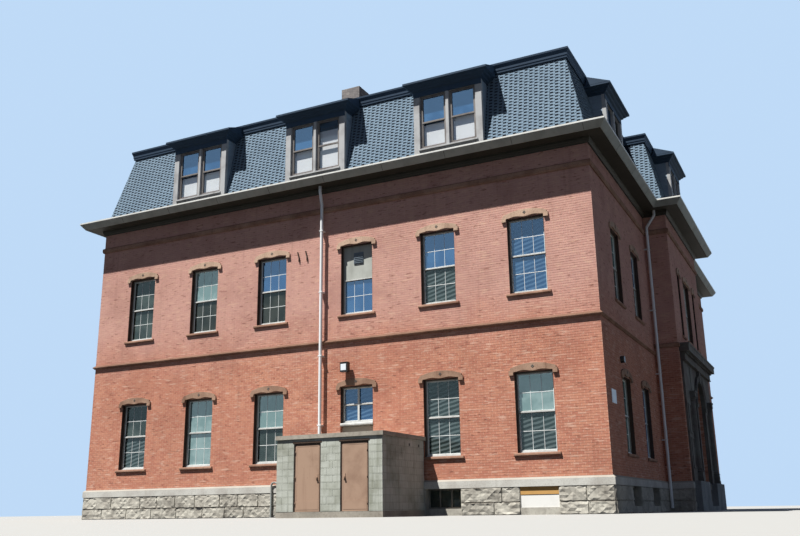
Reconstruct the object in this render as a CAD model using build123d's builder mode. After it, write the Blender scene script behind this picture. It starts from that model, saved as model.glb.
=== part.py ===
"""School building: a two-storey brick block on a stone basement, with an entrance pavilion,
a mansard roof with dormers and a small block-built shed against its long side.

Millimetres, +Z up. The origin is on the ground at the centre of the main block in plan.
The shed is on the south side (-Y) and the entrance pavilion on the east side (+X)."""

import os
from collections import namedtuple

from build123d import *

# Plan of the main block and the entrance pavilion
block_length = 19750
block_depth = 23660
pavilion_projection = 865
pavilion_width = 7190

# Basement walls and the stone course on top of them
foundation_height = 787
foundation_projection = 50
foundation_thickness = 500
water_table_height = 260
water_table_projection = 80
water_table_bevel = 55

# Brick walls and the floors
wall_thickness = 400
first_storey_height = 4688
second_storey_height = 5485
floor_thickness = 300
basement_floor_thickness = 100

# Windows: how wide, how high over their floor, and how far apart
window_width = 1210
first_sill_rise = 698
first_window_height = 2380
second_sill_rise = 815
second_window_height = 2420
side_window_start = 1724
side_window_pitch = 3010
front_window_start = 6006
front_window_pitch = 3003
rear_window_pitch = 3003
pavilion_centre_window_width = 1456
pavilion_narrow_window_width = 570
pavilion_narrow_window_place = 1866
pavilion_window_height = 2500
short_window_rise = 1190
board_share_of_window = 0.5
window_reveal = 150
frame_face = 45
frame_depth = 60
glass_thickness = 12
meeting_rail_height = 56

# Basement windows
basement_window_width = 1160
basement_window_sill = 200
basement_reveal = 200

# Hoods over the windows and sills under them
hood_reach = 155
hood_ear_width = 155
hood_ear_drop = 100
hood_end_height = 120
hood_crown_rise = 130
hood_projection = 45
sill_reach = 105
sill_height = 100
sill_projection = 45

# Level bands round the walls
belt_height = 135
belt_projection = 90
pavilion_band_height = 160
pavilion_band_rise = 145
pavilion_band_projection = 60
upper_band_drop = 732
upper_band_height = 191
upper_band_projection = 70

# Eaves
bed_height = 190
bed_projection = 100
eaves_height = 210
soffit_overhang = 560
eaves_overhang = 730
gutter_lip_height = 40
gutter_lip_thickness = 40

# Mansard slopes
mansard_height = 3039
mansard_setback = 665
mansard_thickness = 250
roof_cornice_height = 314
roof_cornice_setback = 541
roof_cornice_width = 200
roof_deck_thickness = 170

# Dormers
dormer_width = 2475
dormer_height = 2640
dormer_front_thickness = 110
dormer_cheek_thickness = 110
dormer_window_width = 940
dormer_window_gap = 140
dormer_window_sill_rise = 520
dormer_window_height = 1960
dormer_frame_face = 50
dormer_frame_depth = 50
dormer_window_recess = 40
dormer_moulding_height = 230
dormer_lip_projection = 300
dormer_lip_height = 80
dormer_roof_rise = 340
side_dormer_pitch = 5240
end_dormer_pitch = 7500

# Entrance: arched doorway, its stone surround, the doors and the hall behind them
doorway_width = 2000
doorway_spring_rise = 2960
threshold_height = 350
hall_width = 2600
hall_depth = 2400
portal_width = 6700
portal_projection = 80
portal_height = 4353
arch_band_width = 190
arch_band_projection = 60
column_place = 2250
column_radius = 150
column_base_width = 360
column_base_height = 350
column_top_width = 380
column_top_height = 230
column_height = 3323
frieze_height = 333
frieze_projection = 180
cornice_width = 6960
cornice_projection = 364
portal_plinth_projection = 290
riser_count = 2
tread_depth = 250
door_height = 2750
transom_height = 150
door_frame_face = 80
door_frame_depth = 90
door_recess = 260
door_leaf_thickness = 55
door_leaf_gap = 4

# Chimney
chimney_width = 760
chimney_place_x = 700
chimney_front_inset = 1370
chimney_rise = 1090
chimney_wall = 200

# Rainwater pipes
pipe_radius = 55
pipe_clearance = 10
corner_pipe_throw = 330
side_pipe_throw = 130
pipe_bend_drop = 650
pipe_bend_height = 450
pipe_foot_height = 120
pipe_bend_radius = 120
side_pipe_place = 420

# Small fittings on the walls
flood_light_place = 1380
flood_light_rise = 3693
flood_light_width = 280
flood_light_height = 320
flood_light_depth = 170
flood_arm_length = 90
flood_arm_width = 60
dome_light_place = -9600
dome_light_rise = 3553
dome_light_radius = 110
dome_light_depth = 130
vent_place = -1450
vent_radius = 32
vent_height = 1120
vent_reach = 240
vent_drop = 260
vent_bend_radius = 100
vent_gap = 0.3

# Shed against the south wall
shed_left = 592
shed_width = 3535
shed_depth = 2820
shed_slab_height = 168
shed_wall_thickness = 200
shed_wall_height = 2069
shed_roof_thickness = 120
shed_roof_overhang = 45
shed_door_width = 920
shed_door_height = 1943
left_door_place = 1058
right_door_place = 2638
shed_frame_face = 45
shed_frame_depth = 110
shed_frame_inset = 20
door_thickness = 45
door_clearance = 6
knob_radius = 28
knob_length = 55
knob_inset = 80
knob_rise = 950
hinge_radius = 9
hinge_stand_off = 12
hinge_length = 50
hinge_gap = 0.3
hinge_strap_width = 40
hinge_strap_thickness = 4
hinge_rises = (220, 950, 1680)

# Places and levels worked out from the sizes above
SOUTH, EAST, NORTH, WEST = 0, 90, 180, 270
half_x = block_length / 2
half_y = block_depth / 2
pavilion_front = half_x + pavilion_projection
pavilion_half = pavilion_width / 2
wall_foot = foundation_height + water_table_height
first_floor_level = wall_foot
second_floor_level = first_floor_level + first_storey_height
wall_head = second_floor_level + second_storey_height
eaves_level = wall_head + eaves_height
mansard_top = eaves_level + mansard_height
dormer_head = eaves_level + dormer_height
dormer_lip = dormer_head + dormer_moulding_height
foundation_inner = foundation_thickness - foundation_projection
first_sill = first_floor_level + first_sill_rise
first_head = first_sill + first_window_height
second_sill = second_floor_level + second_sill_rise
second_head = second_sill + second_window_height
short_window_sill = first_sill + short_window_rise
spring_level = wall_foot + doorway_spring_rise
portal_head = wall_foot + portal_height
door_head = threshold_height + door_height
fan_foot = door_head + transom_height
pipe_stand_off = belt_projection + pipe_radius + pipe_clearance
chimney_centre = (chimney_place_x, -half_y + chimney_front_inset + chimney_width / 2)

Window = namedtuple("Window", "turn reach centre width low high")

side_reach = {SOUTH: half_y, EAST: half_x, NORTH: half_y, WEST: half_x}
side_centres = [
    sign * (side_window_start + step * side_window_pitch)
    for sign in (-1, 1)
    for step in range(3)
]
front_centres = [
    sign * (front_window_start + step * front_window_pitch)
    for sign in (-1, 1)
    for step in range(2)
]
rear_centres = [step * rear_window_pitch for step in range(-3, 4)]
window_centres = {SOUTH: side_centres, EAST: front_centres, NORTH: side_centres, WEST: rear_centres}
basement_centres = window_centres | {side: side_centres[-2:] for side in (SOUTH, NORTH)}

wall_openings = [
    Window(turn, side_reach[turn], centre, window_width, low, high)
    for turn in side_reach
    for centre in window_centres[turn]
    for low, high in ((first_sill, first_head), (second_sill, second_head))
]
pavilion_windows = [
    Window(EAST, pavilion_front, centre, width, second_sill, second_sill + pavilion_window_height)
    for centre, width in (
        (-pavilion_narrow_window_place, pavilion_narrow_window_width),
        (0, pavilion_centre_window_width),
        (pavilion_narrow_window_place, pavilion_narrow_window_width),
    )
]
basement_windows = [
    Window(turn, side_reach[turn], centre, basement_window_width, basement_window_sill, foundation_height)
    for turn in side_reach
    for centre in basement_centres[turn]
]


def is_short(window):
    """The one opening of the south wall whose lower part is filled by a panel."""
    return (window.turn, window.centre, window.low) == (SOUTH, side_window_start, first_sill)


short_window = Window(SOUTH, half_y, side_window_start, window_width, short_window_sill, first_head)
glazed_windows = [window for window in wall_openings if not is_short(window)]
glazed_windows += [short_window] + pavilion_windows


def turned(south, turn):
    """The south wall's plane turned about the vertical to another wall."""
    return Plane(Location((0, 0, 0), (0, 0, turn)) * south.location)


def elevation(turn, reach):
    """Upright plane facing outwards at that distance from the centre: x along the wall, y up."""
    return turned(Plane((0, -reach, 0), x_dir=(1, 0, 0), z_dir=(0, -1, 0)), turn)


def profile(turn, reach, place):
    """Upright plane across a wall at that place along it: x outwards from its face, y up."""
    return turned(Plane((place, -reach, 0), x_dir=(0, -1, 0), z_dir=(-1, 0, 0)), turn)


def plan(turn, reach, level):
    """Level plane at a wall's outer face: x along the wall, y inwards."""
    return turned(Plane((0, -reach, level), x_dir=(1, 0, 0), z_dir=(0, 0, 1)), turn)


def footprint(grow, mode=Mode.ADD):
    """Outline of the block with its pavilion, moved outwards by grow on every side."""
    front = pavilion_front + grow
    Rectangle(block_length + 2 * grow, block_depth + 2 * grow, mode=mode)
    with Locations((front / 2, 0)):
        Rectangle(front, pavilion_width + 2 * grow, mode=mode)


def ring(outer, inner):
    """Band of the plan between two outlines."""
    footprint(outer)
    footprint(inner, mode=Mode.SUBTRACT)


def upright(low, high, width, centre=0):
    """Rectangle on an elevation between two levels."""
    with Locations((centre, (low + high) / 2)):
        Rectangle(width, high - low)


def faces_of(windows):
    """The walls that these windows are in, each with its own windows."""
    walls = sorted({(window.turn, window.reach) for window in windows})
    return [(wall, [window for window in windows if (window.turn, window.reach) == wall]) for wall in walls]


def draw_windows(windows, inset=0, mode=Mode.SUBTRACT):
    """The windows' openings on an elevation, drawn in by inset all round."""
    for window in windows:
        with Locations((window.centre, (window.low + window.high) / 2)):
            Rectangle(window.width - 2 * inset, window.high - window.low - 2 * inset, mode=mode)


def doorway(inset=0, foot=threshold_height, mode=Mode.ADD):
    """Arched doorway on an elevation, drawn in by inset, from a level up to the crown."""
    radius = doorway_width / 2 - inset
    with BuildLine() as outline:
        Polyline((radius, spring_level), (radius, foot), (-radius, foot), (-radius, spring_level))
        ThreePointArc((-radius, spring_level), (0, spring_level + radius), (radius, spring_level))
    make_face(outline.edges(), mode=mode)


def on_wall(windows, turn):
    """Those of the windows that are in one wall."""
    return [window for window in windows if window.turn == turn]


def save(piece, name):
    """Label a finished piece and write its file."""
    piece.part.label = name
    export_step(piece.part, f"parts/{name}.step")


# Basement walls, which stand a little outside the brick
with BuildPart() as side_foundations:
    for turn in (SOUTH, NORTH):
        with BuildSketch(elevation(turn, half_y + foundation_projection)):
            upright(0, foundation_height, block_length + 2 * foundation_projection)
            draw_windows(on_wall(basement_windows, turn))
        extrude(amount=-foundation_thickness)

with BuildPart() as rear_foundation:
    with BuildSketch(elevation(WEST, half_x + foundation_projection)):
        upright(0, foundation_height, 2 * (half_y - foundation_inner))
        draw_windows(on_wall(basement_windows, WEST))
    extrude(amount=-foundation_thickness)

front_bay_end = half_y - foundation_inner
front_bay_start = pavilion_half + foundation_projection
with BuildPart() as front_foundation:
    with BuildSketch(elevation(EAST, half_x + foundation_projection)):
        for sign in (-1, 1):
            bay_centre = sign * (front_bay_start + front_bay_end) / 2
            upright(0, foundation_height, front_bay_end - front_bay_start, bay_centre)
        draw_windows(on_wall(basement_windows, EAST))
    extrude(amount=-foundation_thickness)

with BuildPart() as pavilion_foundation:
    with BuildSketch(Plane.XY):
        with Locations((half_x - foundation_inner, 0)):
            Rectangle(
                pavilion_projection + foundation_thickness,
                pavilion_width + 2 * foundation_projection,
                align=(Align.MIN, Align.CENTER),
            )
        footprint(-foundation_inner, mode=Mode.SUBTRACT)
    extrude(amount=foundation_height)
    with BuildSketch(elevation(EAST, pavilion_front + foundation_projection)):
        doorway()
    extrude(amount=-foundation_thickness, mode=Mode.SUBTRACT)

# Dressed stone course between the basement walls and the brick, bevelled on top
with BuildPart() as water_table:
    with BuildSketch(Plane.XY.offset(foundation_height)):
        ring(water_table_projection, -foundation_inner)
    extrude(amount=water_table_height)
    top_face = water_table.faces().sort_by(Axis.Z)[-1]
    chamfer(top_face.outer_wire().edges(), length=water_table_bevel)
    with BuildSketch(elevation(EAST, pavilion_front + water_table_projection)):
        doorway()
    extrude(amount=-foundation_thickness - water_table_projection, mode=Mode.SUBTRACT)

# Brick walls
with BuildPart() as side_walls:
    for turn in (SOUTH, NORTH):
        with BuildSketch(elevation(turn, half_y)):
            upright(wall_foot, wall_head, block_length)
            draw_windows(on_wall(wall_openings, turn))
        extrude(amount=-wall_thickness)

with BuildPart() as rear_wall:
    with BuildSketch(elevation(WEST, half_x)):
        upright(wall_foot, wall_head, block_depth - 2 * wall_thickness)
        draw_windows(on_wall(wall_openings, WEST))
    extrude(amount=-wall_thickness)

brick_bay_end = half_y - wall_thickness
with BuildPart() as front_wall:
    with BuildSketch(elevation(EAST, half_x)):
        for sign in (-1, 1):
            bay_centre = sign * (pavilion_half + brick_bay_end) / 2
            upright(wall_foot, wall_head, brick_bay_end - pavilion_half, bay_centre)
        draw_windows(on_wall(wall_openings, EAST))
    extrude(amount=-wall_thickness)

with BuildPart() as pavilion_side_walls:
    for turn, sign in ((SOUTH, 1), (NORTH, -1)):
        with BuildSketch(elevation(turn, pavilion_half)):
            middle = sign * ((half_x + pavilion_front) / 2 - wall_thickness)
            upright(wall_foot, wall_head, pavilion_projection, middle)
        extrude(amount=-wall_thickness)


with BuildPart() as pavilion_front_wall:
    with BuildSketch(elevation(EAST, pavilion_front)):
        upright(wall_foot, wall_head, pavilion_width)
        draw_windows(pavilion_windows)
        doorway(mode=Mode.SUBTRACT)
    extrude(amount=-wall_thickness)


def floor_slab(top, thickness, inset, hall=False):
    """Floor between the walls, open round the chimney and over the entrance hall."""
    with BuildPart() as slab:
        with BuildSketch(Plane.XY.offset(top - thickness)):
            footprint(-inset)
            with Locations(chimney_centre):
                Rectangle(chimney_width, chimney_width, mode=Mode.SUBTRACT)
            if hall:
                with Locations((pavilion_front - inset, 0)):
                    Rectangle(hall_depth, hall_width, align=(Align.MAX, Align.CENTER), mode=Mode.SUBTRACT)
        extrude(amount=thickness)
    return slab


# Floors
with BuildPart() as basement_floor:
    with BuildSketch(Plane.XY):
        footprint(-foundation_inner)
    extrude(amount=basement_floor_thickness)

first_floor = floor_slab(first_floor_level, floor_thickness, foundation_inner, hall=True)
second_floor = floor_slab(second_floor_level, floor_thickness, wall_thickness)
attic_floor = floor_slab(wall_head, floor_thickness, wall_thickness)
deck_inset = roof_cornice_setback + roof_cornice_width
roof_deck = floor_slab(mansard_top + roof_deck_thickness, roof_deck_thickness, deck_inset)

# Window frames, each with a meeting rail at half height
with BuildPart() as window_frames:
    for (turn, reach), windows in faces_of(glazed_windows):
        with BuildSketch(elevation(turn, reach - window_reveal)):
            draw_windows(windows, mode=Mode.ADD)
            draw_windows(windows, inset=frame_face)
            for window in windows:
                with Locations((window.centre, (window.low + window.high) / 2)):
                    Rectangle(window.width - 2 * frame_face, meeting_rail_height)
        extrude(amount=-frame_depth)
    for (turn, reach), windows in faces_of(basement_windows):
        with BuildSketch(elevation(turn, reach + foundation_projection - basement_reveal)):
            draw_windows(windows, mode=Mode.ADD)
            draw_windows(windows, inset=frame_face)
        extrude(amount=-frame_depth)

# Boards: under the short window and in the upper sash of the window above it
with BuildPart() as window_boards:
    with BuildSketch(elevation(SOUTH, half_y - window_reveal)):
        upright(first_sill, short_window_sill, window_width, side_window_start)
    extrude(amount=-frame_depth)
    with BuildSketch(elevation(SOUTH, half_y - window_reveal)):
        board_foot = second_sill + second_window_height * board_share_of_window + meeting_rail_height / 2
        board_width = window_width - 2 * frame_face
        upright(board_foot, second_head - frame_face, board_width, side_window_start)
    extrude(amount=-frame_depth)


def hood_shape(width):
    """Elevation of a window hood over an opening, with its head at height 0."""
    edge = width / 2 + hood_reach
    ear = edge - hood_ear_width
    with BuildSketch(Plane.XY) as shape:
        with BuildLine():
            Polyline(
                (edge, hood_end_height),
                (edge, -hood_ear_drop),
                (ear, -hood_ear_drop),
                (ear, 0),
                (-ear, 0),
                (-ear, -hood_ear_drop),
                (-edge, -hood_ear_drop),
                (-edge, hood_end_height),
            )
            crown = hood_end_height + hood_crown_rise
            ThreePointArc((-edge, hood_end_height), (0, crown), (edge, hood_end_height))
        make_face()
    return shape.sketch


# Stone hoods over the windows and sills under them
hooded_windows = wall_openings + pavilion_windows
with BuildPart() as window_hoods:
    for (turn, reach), windows in faces_of(hooded_windows):
        with BuildSketch(elevation(turn, reach)):
            for window in windows:
                with Locations((window.centre, window.high)):
                    add(hood_shape(window.width))
        extrude(amount=hood_projection)

with BuildPart() as window_sills:
    for (turn, reach), windows in faces_of(hooded_windows + [short_window]):
        with BuildSketch(elevation(turn, reach)):
            for window in windows:
                upright(window.low - sill_height, window.low, window.width + 2 * sill_reach, window.centre)
        extrude(amount=sill_projection)

# Level stone bands: one at the second floor, which stops at the pavilion, one that carries the
# entrance cornice's line round the pavilion, and one under the eaves
belt_low = second_floor_level - belt_height
upper_band_top = wall_head - upper_band_drop
cornice_top = second_floor_level + pavilion_band_rise + pavilion_band_height
with BuildPart() as stone_bands:
    with BuildSketch(Plane.XY.offset(belt_low)):
        Rectangle(block_length + 2 * belt_projection, block_depth + 2 * belt_projection)
        Rectangle(block_length, block_depth, mode=Mode.SUBTRACT)
        with Locations((half_x, 0)):
            Rectangle(belt_projection, pavilion_width, align=(Align.MIN, Align.CENTER), mode=Mode.SUBTRACT)
    extrude(amount=belt_height)
    with BuildSketch(Plane.XY.offset(cornice_top - pavilion_band_height)):
        with Locations((half_x, 0)):
            Rectangle(
                pavilion_projection + pavilion_band_projection,
                pavilion_width + 2 * pavilion_band_projection,
                align=(Align.MIN, Align.CENTER),
            )
            Rectangle(
                pavilion_projection,
                pavilion_width,
                align=(Align.MIN, Align.CENTER),
                mode=Mode.SUBTRACT,
            )
        with Locations((pavilion_front, 0)):
            Rectangle(
                pavilion_band_projection,
                cornice_width,
                align=(Align.MIN, Align.CENTER),
                mode=Mode.SUBTRACT,
            )
    extrude(amount=pavilion_band_height)
    with BuildSketch(Plane.XY.offset(upper_band_top - upper_band_height)):
        ring(upper_band_projection, 0)
    extrude(amount=upper_band_height)

# Boxed eaves on top of the walls, with a board that leans outwards, a moulding against the wall
# under them and a lip for the gutter along their outer edge
with BuildPart() as eaves:
    for level, overhang in ((wall_head, soffit_overhang), (eaves_level, eaves_overhang)):
        with BuildSketch(Plane.XY.offset(level)):
            footprint(overhang)
    loft()
    with BuildSketch(Plane.XY.offset(wall_head)):
        footprint(-wall_thickness)
    extrude(amount=eaves_height, mode=Mode.SUBTRACT)
    with BuildSketch(Plane.XY.offset(wall_head - bed_height)):
        ring(bed_projection, 0)
    extrude(amount=bed_height)
    with BuildSketch(Plane.XY.offset(eaves_level)):
        ring(eaves_overhang, eaves_overhang - gutter_lip_thickness)
    extrude(amount=gutter_lip_height)

# Mansard: how far its outer face lies inside the wall's face at a level
HIP, VALLEY = 1, -1
mansard_reach_in = mansard_setback + mansard_thickness


def slope_in(level):
    """Distance of the slope's outer face inside the wall's face at a level."""
    return mansard_setback * (level - eaves_level) / mansard_height


def mansard_panel(turn, reach, start, end, start_corner, end_corner, dormer_centres):
    """One flat slope between two corners, each a hip or a valley, open where its dormers stand."""
    with BuildPart() as panel:
        with BuildSketch(profile(turn, reach, (start + end) / 2)):
            Polygon(
                (0, eaves_level),
                (-mansard_setback, mansard_top),
                (-mansard_reach_in, mansard_top),
                (-mansard_thickness, eaves_level),
                align=None,
            )
        extrude(amount=(end - start) / 2 + mansard_reach_in, both=True)
        with BuildSketch(plan(turn, reach, eaves_level)):
            Polygon(
                (start, 0),
                (end, 0),
                (end - end_corner * mansard_reach_in, mansard_reach_in),
                (start + start_corner * mansard_reach_in, mansard_reach_in),
                align=None,
            )
        extrude(amount=mansard_height, mode=Mode.INTERSECT)
        for centre in dormer_centres:
            with BuildSketch(plan(turn, reach, eaves_level)):
                with Locations((centre, mansard_reach_in / 2)):
                    Rectangle(dormer_width, mansard_reach_in)
            extrude(amount=mansard_height, mode=Mode.SUBTRACT)
    return panel.part


side_dormers = (-side_dormer_pitch, 0, side_dormer_pitch)
rear_dormers = (-end_dormer_pitch, 0, end_dormer_pitch)
with BuildPart() as side_mansards:
    for turn in (SOUTH, NORTH):
        add(mansard_panel(turn, half_y, -half_x, half_x, HIP, HIP, side_dormers))

with BuildPart() as rear_mansard:
    add(mansard_panel(WEST, half_x, -half_y, half_y, HIP, HIP, rear_dormers))

with BuildPart() as front_mansard:
    add(mansard_panel(EAST, half_x, -half_y, -pavilion_half, HIP, VALLEY, [-end_dormer_pitch]))
    add(mansard_panel(EAST, half_x, pavilion_half, half_y, VALLEY, HIP, [end_dormer_pitch]))

with BuildPart() as pavilion_mansard:
    add(mansard_panel(EAST, pavilion_front, -pavilion_half, pavilion_half, HIP, HIP, [0]))
    add(mansard_panel(SOUTH, pavilion_half, half_x, pavilion_front, VALLEY, HIP, []))
    add(mansard_panel(NORTH, pavilion_half, -pavilion_front, -half_x, HIP, VALLEY, []))

with BuildPart() as roof_cornice:
    with BuildSketch(Plane.XY.offset(mansard_top)):
        ring(-roof_cornice_setback, -deck_inset)
    extrude(amount=roof_cornice_height)

# Dormers, as walls that they stand on and places along them
dormers = [(turn, half_y, side_dormers) for turn in (SOUTH, NORTH)]
dormers += [(WEST, half_x, rear_dormers), (EAST, half_x, (-end_dormer_pitch, end_dormer_pitch))]
dormers += [(EAST, pavilion_front, (0,))]
dormer_light = (dormer_window_gap + dormer_window_width) / 2
dormer_sill = eaves_level + dormer_window_sill_rise


def dormer_openings(centre, inset=0, mode=Mode.SUBTRACT):
    """The pair of windows in a dormer's front."""
    middle = dormer_sill + dormer_window_height / 2
    with Locations((centre - dormer_light, middle), (centre + dormer_light, middle)):
        Rectangle(dormer_window_width - 2 * inset, dormer_window_height - 2 * inset, mode=mode)


with BuildPart() as dormer_fronts:
    for turn, reach, centres in dormers:
        with BuildSketch(elevation(turn, reach)):
            for centre in centres:
                upright(eaves_level, dormer_head, dormer_width - 2 * dormer_cheek_thickness, centre)
                dormer_openings(centre)
        extrude(amount=-dormer_front_thickness)

with BuildPart() as dormer_cheeks:
    for turn, reach, centres in dormers:
        for centre in centres:
            for sign in (-1, 1):
                place = centre + sign * (dormer_width - dormer_cheek_thickness) / 2
                with BuildSketch(profile(turn, reach, place)):
                    Polygon(
                        (0, eaves_level),
                        (0, dormer_head),
                        (-slope_in(dormer_head) - mansard_thickness, dormer_head),
                        (-mansard_thickness, eaves_level),
                        align=None,
                    )
                extrude(amount=dormer_cheek_thickness / 2, both=True)


def dormer_roof(turn, reach, centre):
    """Moulding that flares out round a dormer's head, and a roof from its lip up to the roof cornice."""
    with BuildPart() as roof:
        for level, grow in ((dormer_head, 0), (dormer_lip, dormer_lip_projection)):
            with BuildSketch(plan(turn, reach, level)):
                with Locations((centre, (mansard_setback - grow) / 2)):
                    Rectangle(dormer_width + 2 * grow, mansard_setback + grow)
        loft()
        with BuildSketch(profile(turn, reach, centre)):
            Polygon(
                (dormer_lip_projection, dormer_head),
                (dormer_lip_projection, dormer_lip),
                (-slope_in(dormer_lip), dormer_lip),
                (-slope_in(dormer_head), dormer_head),
                align=None,
            )
        extrude(amount=dormer_width, both=True, mode=Mode.INTERSECT)
        with BuildSketch(profile(turn, reach, centre)):
            lip_top = dormer_lip + dormer_lip_height
            Polygon(
                (dormer_lip_projection, dormer_lip),
                (dormer_lip_projection, lip_top),
                (-roof_cornice_setback, lip_top + dormer_roof_rise),
                (-roof_cornice_setback, mansard_top),
                (-mansard_setback, mansard_top),
                (-slope_in(dormer_lip), dormer_lip),
                align=None,
            )
        extrude(amount=dormer_width / 2 + dormer_lip_projection, both=True)
        with BuildSketch(profile(turn, reach, centre)):
            Polygon(
                (0, dormer_head),
                (0, mansard_top),
                (-mansard_reach_in, mansard_top),
                (-slope_in(dormer_head) - mansard_thickness, dormer_head),
                align=None,
            )
        extrude(amount=dormer_width / 2, both=True)
    return roof.part


with BuildPart() as dormer_roofs:
    for turn, reach, centres in dormers:
        for centre in centres:
            add(dormer_roof(turn, reach, centre))

with BuildPart() as dormer_sashes:
    for turn, reach, centres in dormers:
        with BuildSketch(elevation(turn, reach - dormer_window_recess)):
            for centre in centres:
                dormer_openings(centre, mode=Mode.ADD)
                dormer_openings(centre, inset=dormer_frame_face)
                middle = dormer_sill + dormer_window_height / 2
                with Locations((centre - dormer_light, middle), (centre + dormer_light, middle)):
                    Rectangle(dormer_window_width - 2 * dormer_frame_face, meeting_rail_height)
        extrude(amount=-dormer_frame_depth)

# Sheets of glass behind the frames of every window, in the dormers and over the entrance doors
with BuildPart() as window_glass:
    for (turn, reach), windows in faces_of(glazed_windows):
        with BuildSketch(elevation(turn, reach - window_reveal - frame_depth)):
            draw_windows(windows, mode=Mode.ADD)
        extrude(amount=-glass_thickness)
    for (turn, reach), windows in faces_of(basement_windows):
        with BuildSketch(elevation(turn, reach + foundation_projection - basement_reveal - frame_depth)):
            draw_windows(windows, mode=Mode.ADD)
        extrude(amount=-glass_thickness)
    for turn, reach, centres in dormers:
        with BuildSketch(elevation(turn, reach - dormer_window_recess - dormer_frame_depth)):
            for centre in centres:
                dormer_openings(centre, mode=Mode.ADD)
        extrude(amount=-glass_thickness)
    with BuildSketch(elevation(EAST, pavilion_front - door_recess - door_frame_depth)):
        doorway(foot=fan_foot)
    extrude(amount=-glass_thickness)

# Entrance: stone surround with the band round its arch, columns and the cornice over them
with BuildPart() as portal_surround:
    with BuildSketch(elevation(EAST, pavilion_front)):
        upright(wall_foot, portal_head, portal_width)
        doorway(mode=Mode.SUBTRACT)
    extrude(amount=portal_projection)
    with BuildSketch(elevation(EAST, pavilion_front + portal_projection)):
        doorway(inset=-arch_band_width, foot=wall_foot)
        doorway(mode=Mode.SUBTRACT)
    extrude(amount=arch_band_projection)

with BuildPart() as portal_columns:
    for sign in (-1, 1):
        column_x = pavilion_front + portal_projection
        shaft_foot = wall_foot + column_base_height
        shaft_top = wall_foot + column_height - column_top_height
        with BuildSketch(Plane.XY.offset(shaft_foot)):
            with Locations((column_x, sign * column_place)):
                Circle(column_radius)
        extrude(amount=shaft_top - shaft_foot)
        for foot, height, width in (
            (wall_foot, column_base_height, column_base_width),
            (shaft_top, column_top_height, column_top_width),
        ):
            with BuildSketch(Plane.XY.offset(foot)):
                with Locations((column_x, sign * column_place)):
                    Rectangle(width, width)
            extrude(amount=height)
        with BuildSketch(Plane.XY.offset(wall_foot)):
            with Locations((column_x, sign * column_place)):
                Rectangle(column_top_width, column_top_width, align=(Align.MAX, Align.CENTER))
        extrude(amount=column_height, mode=Mode.SUBTRACT)

with BuildPart() as portal_entablature:
    with BuildSketch(elevation(EAST, pavilion_front)):
        upright(portal_head, portal_head + frieze_height, portal_width)
    extrude(amount=frieze_projection)
    with BuildSketch(elevation(EAST, pavilion_front)):
        upright(portal_head + frieze_height, cornice_top, cornice_width)
    extrude(amount=cornice_projection)

# Stone plinths under the columns, each side of the two steps up to the doors
plinth_front = pavilion_front + portal_plinth_projection
plinth_width = (portal_width - doorway_width) / 2
steps_back = pavilion_front + foundation_projection
with BuildPart() as portal_plinths:
    for sign in (-1, 1):
        for foot, height, back in (
            (0, foundation_height, steps_back),
            (foundation_height, water_table_height, pavilion_front + water_table_projection),
        ):
            with BuildSketch(Plane.XY.offset(foot)):
                with Locations((back, sign * (doorway_width + plinth_width) / 2)):
                    Rectangle(plinth_front - back, plinth_width, align=(Align.MIN, Align.CENTER))
            extrude(amount=height)

riser = threshold_height / riser_count
with BuildPart() as front_steps:
    for step in range(riser_count):
        going = plinth_front - steps_back - step * tread_depth
        with BuildSketch(Plane.XY.offset(step * riser)):
            with Locations((steps_back, 0)):
                Rectangle(going, doorway_width, align=(Align.MIN, Align.CENTER))
        extrude(amount=riser)

# Entrance doors in their arched frame, closed
door_reach = pavilion_front - door_recess
with BuildPart() as entrance_frame:
    with BuildSketch(elevation(EAST, door_reach)):
        doorway()
        doorway(inset=door_frame_face, foot=fan_foot, mode=Mode.SUBTRACT)
        with Locations((0, (threshold_height + door_head) / 2)):
            Rectangle(doorway_width - 2 * door_frame_face, door_height, mode=Mode.SUBTRACT)
    extrude(amount=-door_frame_depth)

with BuildPart() as entrance_doors:
    leaf_width = (doorway_width - 2 * door_frame_face - door_leaf_gap) / 2
    with BuildSketch(elevation(EAST, door_reach)):
        for sign in (-1, 1):
            upright(threshold_height, door_head, leaf_width, sign * (leaf_width + door_leaf_gap) / 2)
    extrude(amount=-door_leaf_thickness)

# Chimney, from the basement floor up through every floor, with its flue
chimney_top = mansard_top + roof_deck_thickness + chimney_rise
with BuildPart() as chimney:
    with BuildSketch(Plane.XY.offset(basement_floor_thickness)):
        with Locations(chimney_centre):
            Rectangle(chimney_width, chimney_width)
    extrude(amount=chimney_top - basement_floor_thickness)
    with BuildSketch(Plane.XY.offset(basement_floor_thickness)):
        with Locations(chimney_centre):
            flue_width = chimney_width - 2 * chimney_wall
            Rectangle(flue_width, flue_width)
    extrude(amount=chimney_top - basement_floor_thickness, mode=Mode.SUBTRACT)


def rainwater_pipe(x, y, throw):
    """Pipe from its foot up past the bands, then out by throw to the underside of the eaves."""
    bend_low = wall_head - pipe_bend_drop
    bend_high = bend_low + pipe_bend_height
    with BuildPart() as pipe:
        with BuildLine():
            FilletPolyline(
                (x, y, pipe_foot_height),
                (x, y, bend_low),
                (x + throw[0], y + throw[1], bend_high),
                (x + throw[0], y + throw[1], wall_head),
                radius=pipe_bend_radius,
            )
        with BuildSketch(Plane.XY.offset(pipe_foot_height)):
            with Locations((x, y)):
                Circle(pipe_radius)
        sweep()
    return pipe.part


with BuildPart() as downspouts:
    add(rainwater_pipe(side_pipe_place, -half_y - pipe_stand_off, (0, -side_pipe_throw)))
    for sign in (-1, 1):
        corner_y = sign * (pavilion_half + bed_projection + pipe_radius + pipe_clearance)
        add(rainwater_pipe(half_x + pipe_stand_off, corner_y, (corner_pipe_throw, 0)))

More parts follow.
